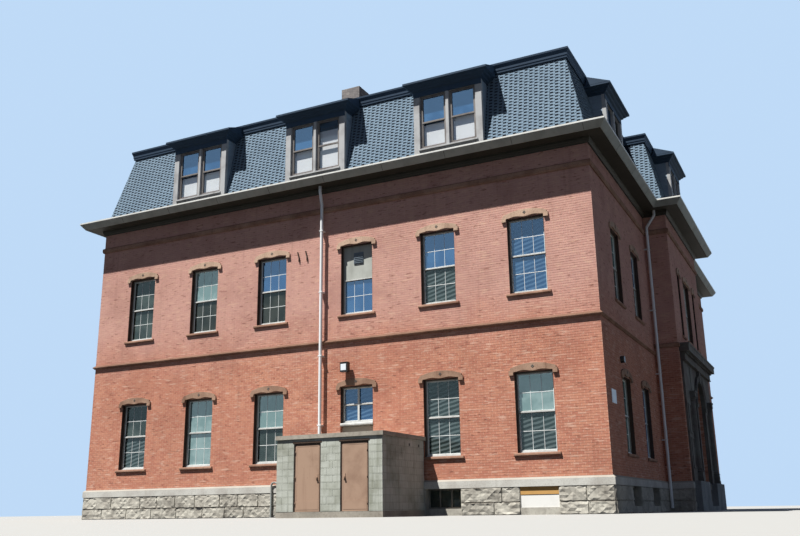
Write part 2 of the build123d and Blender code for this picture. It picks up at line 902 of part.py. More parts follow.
# Lamps on the walls
flood_level = first_floor_level + flood_light_rise
dome_level = first_floor_level + dome_light_rise
with BuildPart() as wall_lights:
    with BuildSketch(elevation(SOUTH, half_y)):
        with Locations((flood_light_place, flood_level)):
            Rectangle(flood_arm_width, flood_arm_width)
    extrude(amount=flood_arm_length)
    with BuildSketch(elevation(SOUTH, half_y + flood_arm_length)):
        with Locations((flood_light_place, flood_level)):
            Rectangle(flood_light_width, flood_light_height)
    extrude(amount=flood_light_depth)
    with BuildSketch(elevation(EAST, half_x)):
        with Locations((dome_light_place, dome_level)):
            Circle(dome_light_radius)
    extrude(amount=dome_light_depth)

# Vent pipe that stands against the foot of the south wall, with its top bent over
with BuildPart() as vent_pipe:
    vent_y = -half_y - water_table_projection - vent_radius - vent_gap
    with BuildLine():
        FilletPolyline(
            (vent_place, vent_y, 0),
            (vent_place, vent_y, vent_height),
            (vent_place + vent_reach, vent_y, vent_height),
            (vent_place + vent_reach, vent_y, vent_height - vent_drop),
            radius=vent_bend_radius,
        )
    with BuildSketch(Plane.XY):
        with Locations((vent_place, vent_y)):
            Circle(vent_radius)
    sweep()

# Shed: floor slab, block walls, lintel and roof slab
shed_right = shed_left + shed_width
shed_front = -half_y - shed_depth
shed_back = -half_y - water_table_projection
shed_wall_top = shed_slab_height + shed_wall_height
shed_door_head = shed_slab_height + shed_door_height
left_door_centre = shed_left + left_door_place
right_door_centre = shed_left + right_door_place
shed_inner_left = shed_left + shed_wall_thickness
shed_inner_right = shed_right - shed_wall_thickness


def shed_box(low, high, left, right, front, back):
    """Block between two levels and four sides."""
    with BuildSketch(Plane.XY.offset(low)) as outline:
        with Locations(((left + right) / 2, (front + back) / 2)):
            Rectangle(right - left, back - front)
    extrude(outline.sketch, amount=high - low)


with BuildPart() as shed_floor:
    shed_box(0, shed_slab_height, shed_left, shed_right, shed_front, shed_back)

with BuildPart() as shed_side_walls:
    for left, right in ((shed_left, shed_inner_left), (shed_inner_right, shed_right)):
        shed_box(shed_slab_height, shed_wall_top, left, right, shed_front, shed_back)

half_door = shed_door_width / 2
shed_front_back = shed_front + shed_wall_thickness
with BuildPart() as shed_piers:
    for left, right in (
        (shed_inner_left, left_door_centre - half_door),
        (left_door_centre + half_door, right_door_centre - half_door),
        (right_door_centre + half_door, shed_inner_right),
    ):
        shed_box(shed_slab_height, shed_door_head, left, right, shed_front, shed_front_back)

with BuildPart() as shed_lintel:
    shed_box(shed_door_head, shed_wall_top, shed_inner_left, shed_inner_right, shed_front, shed_front_back)

roof_left = shed_left - shed_roof_overhang
roof_right = shed_right + shed_roof_overhang
with BuildPart() as shed_roof:
    roof_top = shed_wall_top + shed_roof_thickness
    shed_box(shed_wall_top, roof_top, roof_left, roof_right, shed_front - shed_roof_overhang, -half_y)

frame_front = -shed_front - shed_frame_inset
leaf_front = -frame_front
hinge_y = leaf_front - hinge_stand_off
leaf_width_shed = shed_door_width - 2 * shed_frame_face - 2 * door_clearance
leaf_foot = shed_slab_height + door_clearance
leaf_head = shed_door_head - shed_frame_face - door_clearance
hinge_offset = half_door - shed_frame_face - door_clearance / 2


def knuckle(x, low, jamb_side):
    """One barrel of a hinge with its strap, which runs towards jamb_side along the face behind."""
    with BuildSketch(Plane.XY.offset(low)) as outline:
        with Locations((x, hinge_y)):
            Circle(hinge_radius)
        with Locations((x + jamb_side * hinge_strap_width / 2, leaf_front - hinge_strap_thickness / 2)):
            Rectangle(hinge_strap_width, hinge_strap_thickness)
    extrude(outline.sketch, amount=hinge_length)


with BuildPart() as shed_door_frames:
    for centre, hinge_side in ((left_door_centre, -1), (right_door_centre, 1)):
        with BuildSketch(elevation(SOUTH, frame_front)):
            upright(shed_slab_height, shed_door_head, shed_door_width, centre)
            with Locations((centre, shed_slab_height)):
                Rectangle(
                    shed_door_width - 2 * shed_frame_face,
                    shed_door_height - shed_frame_face,
                    align=(Align.CENTER, Align.MIN),
                    mode=Mode.SUBTRACT,
                )
        extrude(amount=-shed_frame_depth)
        for rise in hinge_rises:
            low = shed_slab_height + rise - hinge_length - hinge_gap
            knuckle(centre + hinge_side * hinge_offset, low, hinge_side)


def shed_door(centre, hinge_side):
    """Flush leaf with its half of each hinge and a knob by its free edge."""
    with BuildPart() as door:
        with BuildSketch(elevation(SOUTH, frame_front)):
            upright(leaf_foot, leaf_head, leaf_width_shed, centre)
        extrude(amount=-door_thickness)
        for rise in hinge_rises:
            knuckle(centre + hinge_side * hinge_offset, shed_slab_height + rise, -hinge_side)
        with BuildSketch(elevation(SOUTH, frame_front)):
            knob_x = centre - hinge_side * (leaf_width_shed / 2 - knob_inset)
            with Locations((knob_x, shed_slab_height + knob_rise)):
                Circle(knob_radius)
        extrude(amount=knob_length)
    return door


shed_door_left = shed_door(left_door_centre, -1)
shed_door_right = shed_door(right_door_centre, 1)

pieces = {
    "side_foundations": side_foundations,
    "rear_foundation": rear_foundation,
    "front_foundation": front_foundation,
    "pavilion_foundation": pavilion_foundation,
    "water_table": water_table,
    "side_walls": side_walls,
    "rear_wall": rear_wall,
    "front_wall": front_wall,
    "pavilion_side_walls": pavilion_side_walls,
    "pavilion_front_wall": pavilion_front_wall,
    "basement_floor": basement_floor,
    "first_floor": first_floor,
    "second_floor": second_floor,
    "attic_floor": attic_floor,
    "window_frames": window_frames,
    "window_glass": window_glass,
    "window_boards": window_boards,
    "window_hoods": window_hoods,
    "window_sills": window_sills,
    "stone_bands": stone_bands,
    "eaves": eaves,
    "side_mansards": side_mansards,
    "rear_mansard": rear_mansard,
    "front_mansard": front_mansard,
    "pavilion_mansard": pavilion_mansard,
    "roof_cornice": roof_cornice,
    "roof_deck": roof_deck,
    "dormer_fronts": dormer_fronts,
    "dormer_cheeks": dormer_cheeks,
    "dormer_roofs": dormer_roofs,
    "dormer_sashes": dormer_sashes,
    "chimney": chimney,
    "portal_surround": portal_surround,
    "portal_columns": portal_columns,
    "portal_entablature": portal_entablature,
    "portal_plinths": portal_plinths,
    "front_steps": front_steps,
    "entrance_frame": entrance_frame,
    "entrance_doors": entrance_doors,
    "downspouts": downspouts,
    "wall_lights": wall_lights,
    "vent_pipe": vent_pipe,
    "shed_floor": shed_floor,
    "shed_side_walls": shed_side_walls,
    "shed_piers": shed_piers,
    "shed_lintel": shed_lintel,
    "shed_roof": shed_roof,
    "shed_door_frames": shed_door_frames,
    "shed_door_left": shed_door_left,
    "shed_door_right": shed_door_right,
}

os.makedirs("parts", exist_ok=True)
for name, piece in pieces.items():
    save(piece, name)
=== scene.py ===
"""Looks of the school building: its materials and the fine work that the plain solids leave out.

Metres, +Z up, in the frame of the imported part. A place on a wall is (along, out, level): along runs
to the right as the wall is seen from outside, out is measured from the wall's face, level from the
ground. The walls are named by the angle that turns the south wall into them."""

import math
import random

import bmesh
import bpy
from mathutils import Matrix, Vector


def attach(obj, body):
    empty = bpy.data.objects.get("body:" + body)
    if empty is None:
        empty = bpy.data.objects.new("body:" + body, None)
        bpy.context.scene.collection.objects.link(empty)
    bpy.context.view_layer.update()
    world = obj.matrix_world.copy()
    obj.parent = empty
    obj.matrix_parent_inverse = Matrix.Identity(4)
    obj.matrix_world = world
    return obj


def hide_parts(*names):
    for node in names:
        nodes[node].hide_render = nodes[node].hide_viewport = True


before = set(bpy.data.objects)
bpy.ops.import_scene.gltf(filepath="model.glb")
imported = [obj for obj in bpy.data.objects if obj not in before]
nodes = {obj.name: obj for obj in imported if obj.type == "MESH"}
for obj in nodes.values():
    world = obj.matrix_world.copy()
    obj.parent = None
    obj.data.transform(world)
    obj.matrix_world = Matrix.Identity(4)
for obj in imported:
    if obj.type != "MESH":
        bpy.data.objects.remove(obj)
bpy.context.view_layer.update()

SOUTH, EAST, NORTH, WEST = 0, 90, 180, 270
BUILDING = "building"

# Sizes that the solids have too
HALF_X, HALF_Y = 9.875, 11.83
PAVILION_FRONT, PAVILION_HALF = 10.74, 3.595
FOUNDATION_TOP, FOUNDATION_OUT, WALL_FOOT, WALL_HEAD = 0.787, 0.05, 1.047, 11.22
EAVES_LEVEL, MANSARD_TOP, SETBACK = 11.43, 14.469, 0.665
WINDOW_WIDTH, REVEAL, FRAME_DEPTH, FRAME_FACE = 1.21, 0.15, 0.06, 0.045
FIRST_SILL, FIRST_HEAD, SHORT_SILL = 1.745, 4.125, 2.935
SECOND_SILL, SECOND_HEAD, PAVILION_HEAD = 6.55, 8.97, 9.05
BASEMENT_SILL, BASEMENT_WIDTH, BASEMENT_REVEAL = 0.2, 1.16, 0.2
DORMER_WIDTH, DORMER_HEAD, DORMER_RECESS = 2.475, 14.07, 0.04
DORMER_SILL, DORMER_LIGHT_HEIGHT, DORMER_LIGHT_WIDTH, DORMER_LIGHT_PLACE = 11.95, 1.96, 0.94, 0.54
SPRING_LEVEL, PORTAL_HALF, PORTAL_OUT, PORTAL_HEAD = 4.007, 3.35, 0.08, 5.4
FRIEZE_OUT, CORNICE_FOOT, CORNICE_TOP, CORNICE_HALF = 0.18, 5.733, 6.04, 3.48
COLUMN_PLACE, COLUMN_OUT, COLUMN_RADIUS = 2.25, 0.08, 0.15
SHED_LEFT, SHED_RIGHT, SHED_FRONT, SHED_BACK = 0.592, 4.127, 14.65, 11.91
SHED_FOOT, SHED_WALL_TOP, SHED_DOOR_HEAD = 0.168, 2.237, 2.111
SHED_DOORS = ((1.65, -1, "shed_door_left"), (3.23, 1, "shed_door_right"))
CHIMNEY_X, CHIMNEY_Y, CHIMNEY_LEVELS = (0.32, 1.08), (9.70, 10.46), (14.65, 15.725)

SIDE_COLUMNS = (-7.744, -4.734, -1.724, 1.724, 4.734, 7.744)
FRONT_COLUMNS = (-9.009, -6.006, 6.006, 9.009)
REAR_COLUMNS = tuple(3.003 * step for step in range(-3, 4))
PAVILION_COLUMNS = ((-1.866, 0.57), (0.0, 1.456), (1.866, 0.57))
SHORT_PLACE = 1.724
SIDE_DORMERS, END_DORMERS = (-5.24, 0.0, 5.24), (-7.5, 0.0, 7.5)
WALLS = ((SOUTH, HALF_Y, SIDE_COLUMNS), (EAST, HALF_X, FRONT_COLUMNS),
         (NORTH, HALF_Y, SIDE_COLUMNS), (WEST, HALF_X, REAR_COLUMNS))
BASEMENT_WALLS = ((SOUTH, HALF_Y, SIDE_COLUMNS[-2:]), (EAST, HALF_X, FRONT_COLUMNS),
                  (NORTH, HALF_Y, SIDE_COLUMNS[-2:]), (WEST, HALF_X, REAR_COLUMNS))
SLOPE = math.hypot(SETBACK, MANSARD_TOP - EAVES_LEVEL)
SLOPE_IN, SLOPE_UP = SETBACK / SLOPE, (MANSARD_TOP - EAVES_LEVEL) / SLOPE

# Sizes of what only this script makes
COURSE, JOINT, BRICK_OUT = 0.075, 0.01, 0.004
BLOCK_LENGTH, BLOCK_HEIGHT = 0.4, 0.2


# Shapes
def on_wall(turn, reach):
    """Gives the rule that turns (along, out, level) on a wall into a point of the model."""
    angle = math.radians(turn)
    c, s = round(math.cos(angle)), round(math.sin(angle))

    def place(point):
        along, out, level = point
        return (c * along + s * (reach + out), s * along - c * (reach + out), level)

    return place


def on_slope(turn, reach):
    """Gives the rule that turns (along, off the slope, up the slope) on a mansard into a point."""
    wall = on_wall(turn, reach)

    def place(point):
        along, off, up = point
        return wall((along, -SLOPE_IN * up + SLOPE_UP * off, EAVES_LEVEL + SLOPE_UP * up + SLOPE_IN * off))

    return place


def as_is(point):
    return point


def span(centre, half):
    return (centre - half, centre + half)


BOX_FACES = [(0, 3, 2, 1), (4, 5, 6, 7), (0, 1, 5, 4), (1, 2, 6, 5), (2, 3, 7, 6), (3, 0, 4, 7)]


class Shape:
    """Corner points and faces of one piece while it is being gathered."""

    def __init__(self):
        self.points, self.faces, self.paints = [], [], []

    def add(self, points, faces, place=as_is, paint=0):
        start = len(self.points)
        self.points += [place(p) for p in points]
        self.faces += [[start + i for i in face] for face in faces]
        self.paints += [paint] * len(faces)

    def box(self, along, out, level, place=as_is, paint=0):
        (a, b), (c, d) = sorted(along), out
        self.add([corner + (z,) for z in level for corner in ((a, c), (b, c), (b, d), (a, d))],
                 BOX_FACES, place, paint)

    def join(self, first, last, place, paint):
        """Two like outlines joined into one closed solid."""
        n = len(first)
        sides = [(i, (i + 1) % n, n + (i + 1) % n, n + i) for i in range(n)]
        ends = [tuple(range(n - 1, -1, -1)), tuple(range(n, 2 * n))]
        self.add(first + last, ends + sides, place, paint)

    def prism(self, outline, out, place=as_is, paint=0):
        """Outline of (along, level) points carried from one distance out to another."""
        self.join(*([(a, distance, z) for a, z in outline] for distance in out), place, paint)

    def rib(self, outline, along, place=as_is, paint=0):
        """Outline of (out, level) points carried along a wall."""
        self.join(*([(a, out, z) for out, z in outline] for a in along), place, paint)

    def band(self, profile, corners, closed=False, paint=0):
        """Closed profile of (out, level) points led along corners(out), a list of (x, y)."""
        n, rings = len(profile), [corners(out) for out, _ in profile]
        count = len(rings[0])
        points = [(*rings[i][j], profile[i][1]) for j in range(count) for i in range(n)]
        faces = []
        for j in range(count if closed else count - 1):
            k = (j + 1) % count
            faces += [(j * n + i, j * n + (i + 1) % n, k * n + (i + 1) % n, k * n + i) for i in range(n)]
        if not closed:
            faces += [tuple(range(n - 1, -1, -1)), tuple((count - 1) * n + i for i in range(n))]
        self.add(points, faces, paint=paint)

    def turned(self, profile, centre, segments=24):
        """Profile of (radius, level) points turned about an upright axis."""
        x, y = centre
        n, points, faces = len(profile), [], []
        for j in range(segments):
            angle = 2 * math.pi * j / segments
            points += [(x + r * math.cos(angle), y + r * math.sin(angle), z) for r, z in profile]
            k = (j + 1) % segments
            faces += [(j * n + i, k * n + i, k * n + i + 1, j * n + i + 1) for i in range(n - 1)]
        faces += [tuple(j * n for j in range(segments - 1, -1, -1)),
                  tuple(j * n + n - 1 for j in range(segments))]
        self.add(points, faces)

    def surround(self, along, out, level, width, place):
        """Four strips round a rectangle."""
        (a, b), (low, high) = sorted(along), level
        for ends, heights in (((a, b), (low, low + width)), ((a, b), (high - width, high)),
                              ((a, a + width), level), ((b - width, b), level)):
            self.box(ends, out, heights, place)


def add_object(name, data):
    obj = bpy.data.objects.new(name, data)
    bpy.context.scene.collection.objects.link(obj)
    return obj


def round_edges(obj, width):
    edge = obj.modifiers.new("edge", "BEVEL")
    edge.width, edge.segments, edge.limit_method, edge.angle_limit = width, 2, "ANGLE", 0.6


def piece(name, shape, paints, body=BUILDING, bevel=0, replaces=()):
    """Makes the gathered shape a mesh that rides on a body. Paints is a material's name, or several."""
    mesh = bpy.data.meshes.new(name)
    mesh.from_pydata(shape.points, [], shape.faces)
    work = bmesh.new()
    work.from_mesh(mesh)
    bmesh.ops.recalc_face_normals(work, faces=work.faces)
    work.to_mesh(mesh)
    work.free()
    mesh.polygons.foreach_set("material_index", shape.paints)
    obj = add_object(name, mesh)
    for paint in [paints] if isinstance(paints, str) else paints:
        mesh.materials.append(materials[paint])
    if bevel:
        round_edges(obj, bevel)
    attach(obj, body)
    if replaces:
        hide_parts(*replaces)


# Materials
materials = {}
# Sockets of a Mix node that mixes colours: the two colours, and the colour that comes out
FIRST_COLOUR, SECOND_COLOUR, MIXED_COLOUR = 6, 7, 2


def colour(screen):
    """A colour written as 0 to 255 on screen, as the renderer's own numbers."""
    return tuple((v / 255 / 12.92) if v < 10.3 else ((v / 255 + 0.055) / 1.055) ** 2.4
                 for v in screen) + (1.0,)


class Paint:
    """One node material in the making. Its colours are written as 0 to 255 on screen."""

    def __init__(self, name, base, roughness, **sockets):
        materials[name] = bpy.data.materials.new(name)
        materials[name].use_nodes = True
        self.tree = materials[name].node_tree
        self.shader = self.tree.nodes["Principled BSDF"]
        self.shader.inputs["Roughness"].default_value = roughness
        self.shader.inputs["Specular IOR Level"].default_value = 0.15 if roughness > 0.5 else 0.4
        for key, value in sockets.items():
            self.shader.inputs[key.replace("_", " ")].default_value = value
        self.set_base(base)

    def put(self, socket, value):
        if isinstance(value, bpy.types.NodeSocket):
            self.tree.links.new(value, socket)
        else:
            socket.default_value = colour(value) if socket.type == "RGBA" else value

    def node(self, kind, inputs=(), **settings):
        """Makes a node and fills its inputs, given by name or number."""
        made = self.tree.nodes.new("ShaderNode" + kind)
        for key, value in settings.items():
            setattr(made, key, value)
        for key, value in dict(inputs).items():
            self.put(made.inputs[key], value)
        return made

    def math(self, operation, a, b=0.0):
        return self.node("Math", {0: a, 1: b}, operation=operation).outputs[0]

    def mix(self, factor, a, b):
        inputs = {"Factor": factor, FIRST_COLOUR: a, SECOND_COLOUR: b}
        return self.node("Mix", inputs, data_type="RGBA").outputs[MIXED_COLOUR]

    def blend(self, mask, amount, a, b):
        return self.mix(self.math("MULTIPLY", mask, amount), a, b)

    def step(self, value, low, high):
        """0 below low, 1 above high."""
        return self.node("MapRange", {0: value, 1: low, 2: high}, interpolation_type="SMOOTHSTEP").outputs[0]

    def place(self):
        return self.node("TexCoord").outputs["Object"]

    def split(self, vector):
        return self.node("SeparateXYZ", {0: vector}).outputs

    def level(self):
        return self.split(self.place())[2]

    def normal(self):
        return self.split(self.node("NewGeometry").outputs["Normal"])

    def wall_place(self):
        """(along the wall, level) of a point, whichever way the wall faces."""
        x, y, z = self.split(self.place())
        sideways = self.math("GREATER_THAN", self.math("ABSOLUTE", self.normal()[0]), 0.6)
        along = self.node("Mix", {0: sideways, 2: x, 3: y}, data_type="FLOAT").outputs[0]
        return self.node("CombineXYZ", {0: along, 1: z}).outputs[0]

    def noise(self, scale, detail=3.0, vector=None):
        inputs = {"Scale": scale, "Detail": detail, "Roughness": 0.55, "Vector": vector or self.place()}
        return self.node("TexNoise", inputs).outputs["Fac"]

    def stretched(self, x, y, z):
        return self.node("Mapping", {"Scale": (x, y, z), "Vector": self.place()}).outputs[0]

    def bricks(self, width, height, joint, one, two, mortar, vector, offset=0.5):
        """Gives the colour of a bond of bricks or boards, and where its joints are."""
        made = self.node("TexBrick", {
            "Color1": one, "Color2": two, "Mortar": mortar, "Scale": 1.0, "Mortar Size": joint / 2,
            "Mortar Smooth": 0.1, "Brick Width": width, "Row Height": height, "Bias": 0.0,
            "Vector": vector}, offset=offset)
        return made.outputs["Color"], made.outputs["Fac"]

    def set_base(self, value):
        self.put(self.shader.inputs["Base Color"], value)

    def bump(self, height, distance, strength):
        """Relief, over any relief that is there already."""
        normal = self.shader.inputs["Normal"]
        inputs = {"Strength": strength, "Distance": distance, "Height": height}
        if normal.is_linked:
            inputs["Normal"] = normal.links[0].from_socket
        self.put(normal, self.node("Bump", inputs).outputs[0])

    def patches(self, base, other, amount, low, high, scale, detail, vector=None):
        """The base colour with patches of another, where a noise rises from low to high."""
        return self.blend(self.step(self.noise(scale, detail, vector), low, high), amount, base, other)

    def weather(self, base, dark, amount, scale=0.8, streaks=True):
        """Darkens in broad patches, and in streaks that run down."""
        base = self.patches(base, dark, amount, 0.42, 0.72, scale, 4)
        if streaks:
            base = self.patches(base, dark, amount, 0.52, 0.8, 1.0, 4, self.stretched(5, 5, 0.35))
        return base

    def shade_upward_faces(self, base, dark):
        """Painted shade on faces that look up, which keeps their sunlit tops from glaring."""
        return self.blend(self.step(self.normal()[2], 0.35, 0.8), 0.85, base, dark)


def brick_paint(name, one, two, mortar, stain, lift):
    """Brickwork in 65 by 200 mm bricks; lift is the paler, pinker colour of the upper storey."""
    paint = Paint(name, one, 0.9)
    col, joint = paint.bricks(0.21, COURSE, 0.011, one, two, mortar, paint.wall_place())
    col = paint.patches(col, two, 0.35, 0.35, 0.7, 0.45, 5)
    ragged_level = paint.math("ADD", paint.level(), paint.math("MULTIPLY", paint.noise(0.6), 2.0))
    col = paint.blend(paint.step(ragged_level, 5.6, 8.2), 0.5, col, lift)
    col = paint.patches(col, stain, 0.6, 0.58, 0.72, 9.0, 3, paint.stretched(0.5, 0.5, 1.6))
    col = paint.patches(col, mortar, 0.85, 0.54, 0.68, 7.0, 3, paint.stretched(0.35, 0.35, 2.0))
    paint.set_base(paint.weather(col, stain, 0.20))
    paint.bump(joint, 0.006, -0.7)
    paint.bump(paint.noise(60, 3), 0.004, 0.4)


brick_paint("brick", (206, 147, 122), (188, 126, 106), (218, 178, 158), (120, 72, 60), (212, 178, 172))
brick_paint("chimney_brick", (150, 138, 132), (112, 104, 102), (178, 172, 166), (70, 66, 66), (136, 136, 138))


def stone_paint(name, base, other, dark, grain, relief, amount, lift=None):
    """Weathered stone; lift is its colour in the upper storey."""
    paint = Paint(name, base, 0.9)
    col = paint.patches(base, other, 1.0, 0.38, 0.66, 1.7, 5)
    if lift:
        col = paint.blend(paint.step(paint.level(), 5.0, 7.5), 0.75, col, lift)
    col = paint.patches(col, dark, 0.35, 0.45, 0.75, grain, 4)
    # Faces that look up are darkened: painted shade.
    paint.set_base(paint.shade_upward_faces(paint.weather(col, dark, amount), dark))
    paint.bump(paint.noise(grain, 6), relief, 0.8)
    paint.bump(paint.noise(grain / 5, 4), relief * 3, 0.5)


# Main colour, second colour, dirt, grains in a metre, depth of the relief, how dirty, upper storey's colour
STONES = {
    "granite": ((196, 193, 182), (168, 164, 154), (108, 102, 94), 14, 0.006, 0.4),
    "pale_stone": ((208, 208, 202), (192, 190, 184), (138, 130, 120), 30, 0.002, 0.3),
    "brownstone": ((180, 144, 124), (154, 118, 100), (92, 66, 54), 26, 0.003, 0.45),
    "hood_stone": ((174, 144, 124), (150, 120, 102), (96, 66, 52), 26, 0.003, 0.45, (210, 182, 160)),
    # The portal's stone, also used as painted shade on the hoods' carved flowers
    "portal_stone": ((122, 122, 118), (104, 98, 94), (64, 58, 58), 26, 0.003, 0.4),
    "step_stone": ((150, 154, 156), (132, 136, 138), (84, 84, 82), 20, 0.004, 0.4),
    "concrete": ((176, 170, 158), (158, 152, 142), (108, 100, 90), 18, 0.003, 0.35),
    "roofing": ((78, 78, 79), (72, 72, 74), (54, 54, 56), 40, 0.002, 0.25),
    "roof_seal": ((60, 60, 62), (52, 52, 54), (40, 40, 42), 40, 0.002, 0.3),
}
for name, look in STONES.items():
    stone_paint(name, *look)


def painted(name, base, dark, roughness, amount, grain=0.0012):
    """Weathered paint on wood or metal."""
    paint = Paint(name, base, roughness)
    col = paint.weather(base, dark, amount, 1.6)
    chips = paint.step(paint.noise(22, 5), 0.64, 0.72)
    # Faces that look up are darkened: painted shade.
    paint.set_base(paint.shade_upward_faces(paint.blend(chips, amount, col, dark), dark))
    paint.bump(paint.noise(18, 4, paint.stretched(1, 1, 0.15)), grain, 0.6)
    dull = paint.math("ADD", paint.math("MULTIPLY", chips, 0.3), roughness)
    paint.put(paint.shader.inputs["Roughness"], dull)


# Main colour, dirt, roughness, how worn, depth of the grain where it isn't wood's
PAINTS = {
    "sash_white": ((236, 240, 240), (176, 178, 174), 0.5, 0.3),
    "frame_grey": ((150, 146, 138), (96, 88, 80), 0.6, 0.5),
    # The jambs' dark brown is painted shade of the window reveals
    "jamb_dark": ((66, 50, 44), (44, 34, 30), 0.7, 0.5),
    "eaves_grey": ((178, 184, 178), (128, 132, 126), 0.6, 0.4),
    "soffit_brown": ((58, 56, 50), (40, 38, 34), 0.6, 0.4),
    "edge_cream": ((222, 224, 220), (172, 170, 162), 0.5, 0.3),
    "storm_white": ((208, 210, 208), (134, 134, 130), 0.5, 0.5),
    # The cornices' black, also used as painted shadow of the cornice on the dormers' casings
    "cornice_black": ((52, 70, 90), (42, 56, 72), 0.7, 0.4),
    "casing_tan": ((182, 184, 186), (116, 112, 112), 0.6, 0.5),
    "dormer_sash": ((132, 128, 126), (84, 76, 72), 0.55, 0.6),
    "door_dark": ((74, 62, 54), (46, 38, 34), 0.5, 0.4),
    "board_tan": ((184, 188, 182), (138, 140, 134), 0.8, 0.4),
    "vent_blue": ((122, 134, 144), (84, 94, 104), 0.6, 0.4),
    "board_white": ((240, 240, 236), (190, 188, 180), 0.7, 0.3),
    "board_ochre": ((204, 160, 98), (140, 106, 66), 0.7, 0.3),
    "panel_grey": ((196, 190, 178), (150, 142, 130), 0.7, 0.3),
    "pipe_white": ((236, 240, 242), (200, 200, 196), 0.35, 0.15, 0.0004),
    # Black of the lamp and handles, also used as painted shade in the shed's vents
    "lamp_black": ((34, 34, 34), (20, 20, 20), 0.4, 0.3, 0.0004),
    "pipe_grey": ((150, 156, 154), (108, 100, 92), 0.4, 0.5, 0.0006),
    "blind_pale": ((236, 240, 242), (208, 212, 214), 0.6, 0.2, 0.0003),
    "shed_door_paint": ((174, 146, 126), (122, 94, 78), 0.55, 0.45, 0.0006),
    "shed_frame_paint": ((72, 58, 50), (48, 38, 34), 0.6, 0.4),
    "plate_pale": ((232, 240, 248), (190, 204, 216), 0.35, 0.15, 0.0003),
    "iron_dark": ((62, 50, 44), (40, 32, 28), 0.6, 0.5),
}
for name, look in PAINTS.items():
    painted(name, *look)

block_paint = Paint("shed_block", (188, 192, 184), 0.92)
block_colour, _ = block_paint.bricks(BLOCK_LENGTH, BLOCK_HEIGHT, 0.012, (194, 198, 190), (180, 184, 174),
                                     (160, 163, 154), block_paint.wall_place())
block_paint.set_base(block_paint.weather(block_colour, (120, 122, 106), 0.6, 1.4))
block_paint.bump(block_paint.noise(45, 4), 0.004, 0.7)


def shingle_paint(name, base, other, dark):
    paint = Paint(name, base, 0.9)
    col = paint.patches(base, other, 0.45, 0.4, 0.7, 1.1, 5)
    col = paint.patches(col, other, 0.4, 0.42, 0.66, 6.0, 2, paint.stretched(1, 1, 1.4))
    paint.set_base(paint.patches(col, dark, 0.35, 0.45, 0.7, 150, 2))
    paint.bump(paint.noise(150, 2), 0.002, 0.6)


shingle_paint("shingle", (114, 134, 151), (99, 118, 135), (72, 88, 103))
# The sheet under the tabs: the under-course's colour with the slots' shade painted in
shingle_paint("shingle_underlay_shade", (22, 30, 42), (18, 26, 38), (12, 18, 28))
# Paler copy of the shingle for the dormers' cheeks: painted light on faces that stand in shade
shingle_paint("cheek_grey", (150, 168, 184), (132, 150, 168), (96, 112, 126))


def glass_paint(name, base, other, alpha, shine, tint, stripe=None):
    """Old glass in broad patches of two colours, which are partly a painted reflection of the sky and of the
    blinds behind it; stripe is the colour of slanted bars of light painted on it.
    Shine and tint say how strongly and in what hue the sky shows in it."""
    paint = Paint(name, base, 0.04, Alpha=alpha, IOR=shine, Specular_IOR_Level=1.0, Specular_Tint=tint)
    col = paint.patches(base, other, 1.0, 0.42, 0.60, 1.3, 3)
    if stripe:
        x, y, z = paint.split(paint.place())
        slant = paint.math("SUBTRACT", z, paint.math("MULTIPLY", paint.math("ADD", x, y), 0.26))
        wobble = paint.math("MULTIPLY", paint.noise(2.0, 2), 0.08)
        turns = paint.math("MULTIPLY", paint.math("ADD", slant, wobble), 2 * math.pi / 0.135)
        col = paint.blend(paint.step(paint.math("SINE", turns), -0.6, 0.8), 0.7, col, stripe)
    paint.set_base(col)
    paint.bump(paint.noise(1.3, 2), 0.006, 0.25)


# Hues of the sky in the glass, as the renderer's own numbers
BLUISH, GREENISH = (0.55, 0.78, 1.0, 1.0), (0.85, 0.95, 0.80, 1.0)
# The glasses' colours are partly painted reflections of the sky and of what hangs behind; the striped ones
# also carry painted bars of light
GLASS = {
    "glass_sky": ((36, 74, 114), (58, 98, 138), 0.8, 2.2, BLUISH),
    "glass_dim": ((52, 62, 60), (78, 90, 86), 0.72, 1.5, GREENISH),
    "glass_pale": ((118, 146, 144), (154, 178, 176), 0.78, 2.1, GREENISH),
    "glass_clear": ((110, 130, 160), (130, 150, 170), 0.10, 1.6, BLUISH),
    "glass_striped": ((36, 46, 48), (44, 58, 58), 0.85, 1.5, GREENISH, (108, 122, 124)),
    "glass_blue_striped": ((30, 60, 94), (44, 76, 110), 0.85, 1.9, BLUISH, (90, 122, 150)),
    "glass_dark": ((40, 42, 38), (62, 64, 58), 0.8, 1.45, GREENISH),
}
SKY, DIM, PALE, CLEAR, STRIPED, BLUE_STRIPED, DARK = range(len(GLASS))
for name, look in GLASS.items():
    glass_paint(name, *look)

timber = Paint("floor_timber", (150, 122, 92), 0.6)
timber_colour, timber_joint = timber.bricks(2.4, 0.11, 0.004, (156, 126, 94), (136, 108, 80), (70, 54, 40),
                                            timber.place(), offset=0.37)
timber.set_base(timber.weather(timber_colour, (110, 86, 62), 0.3, 1.0, False))
timber.bump(timber_joint, 0.003, -0.5)


def dress(material, *names, bevel=0.0):
    """Gives CAD nodes a material, and a slightly rounded edge where they keep their shape."""
    for name in names:
        obj = nodes[name]
        obj.data.materials.clear()
        obj.data.materials.append(materials[material])
        if bevel:
            round_edges(obj, bevel)


dress("granite", "side_foundations", "rear_foundation", "front_foundation", "pavilion_foundation")
dress("pale_stone", "water_table", bevel=0.008)
dress("brick", "side_walls", "rear_wall", "front_wall", "pavilion_side_walls", "pavilion_front_wall")
dress("chimney_brick", "chimney")
dress("concrete", "basement_floor", "shed_floor", "shed_roof", bevel=0.01)
dress("floor_timber", "first_floor", "second_floor", "attic_floor")
dress("frame_grey", "window_frames", bevel=0.004)
dress("glass_sky", "window_glass")
dress("board_tan", "window_boards")
dress("brownstone", "window_sills", "stone_bands")
dress("hood_stone", "window_hoods")
dress("eaves_grey", "eaves")
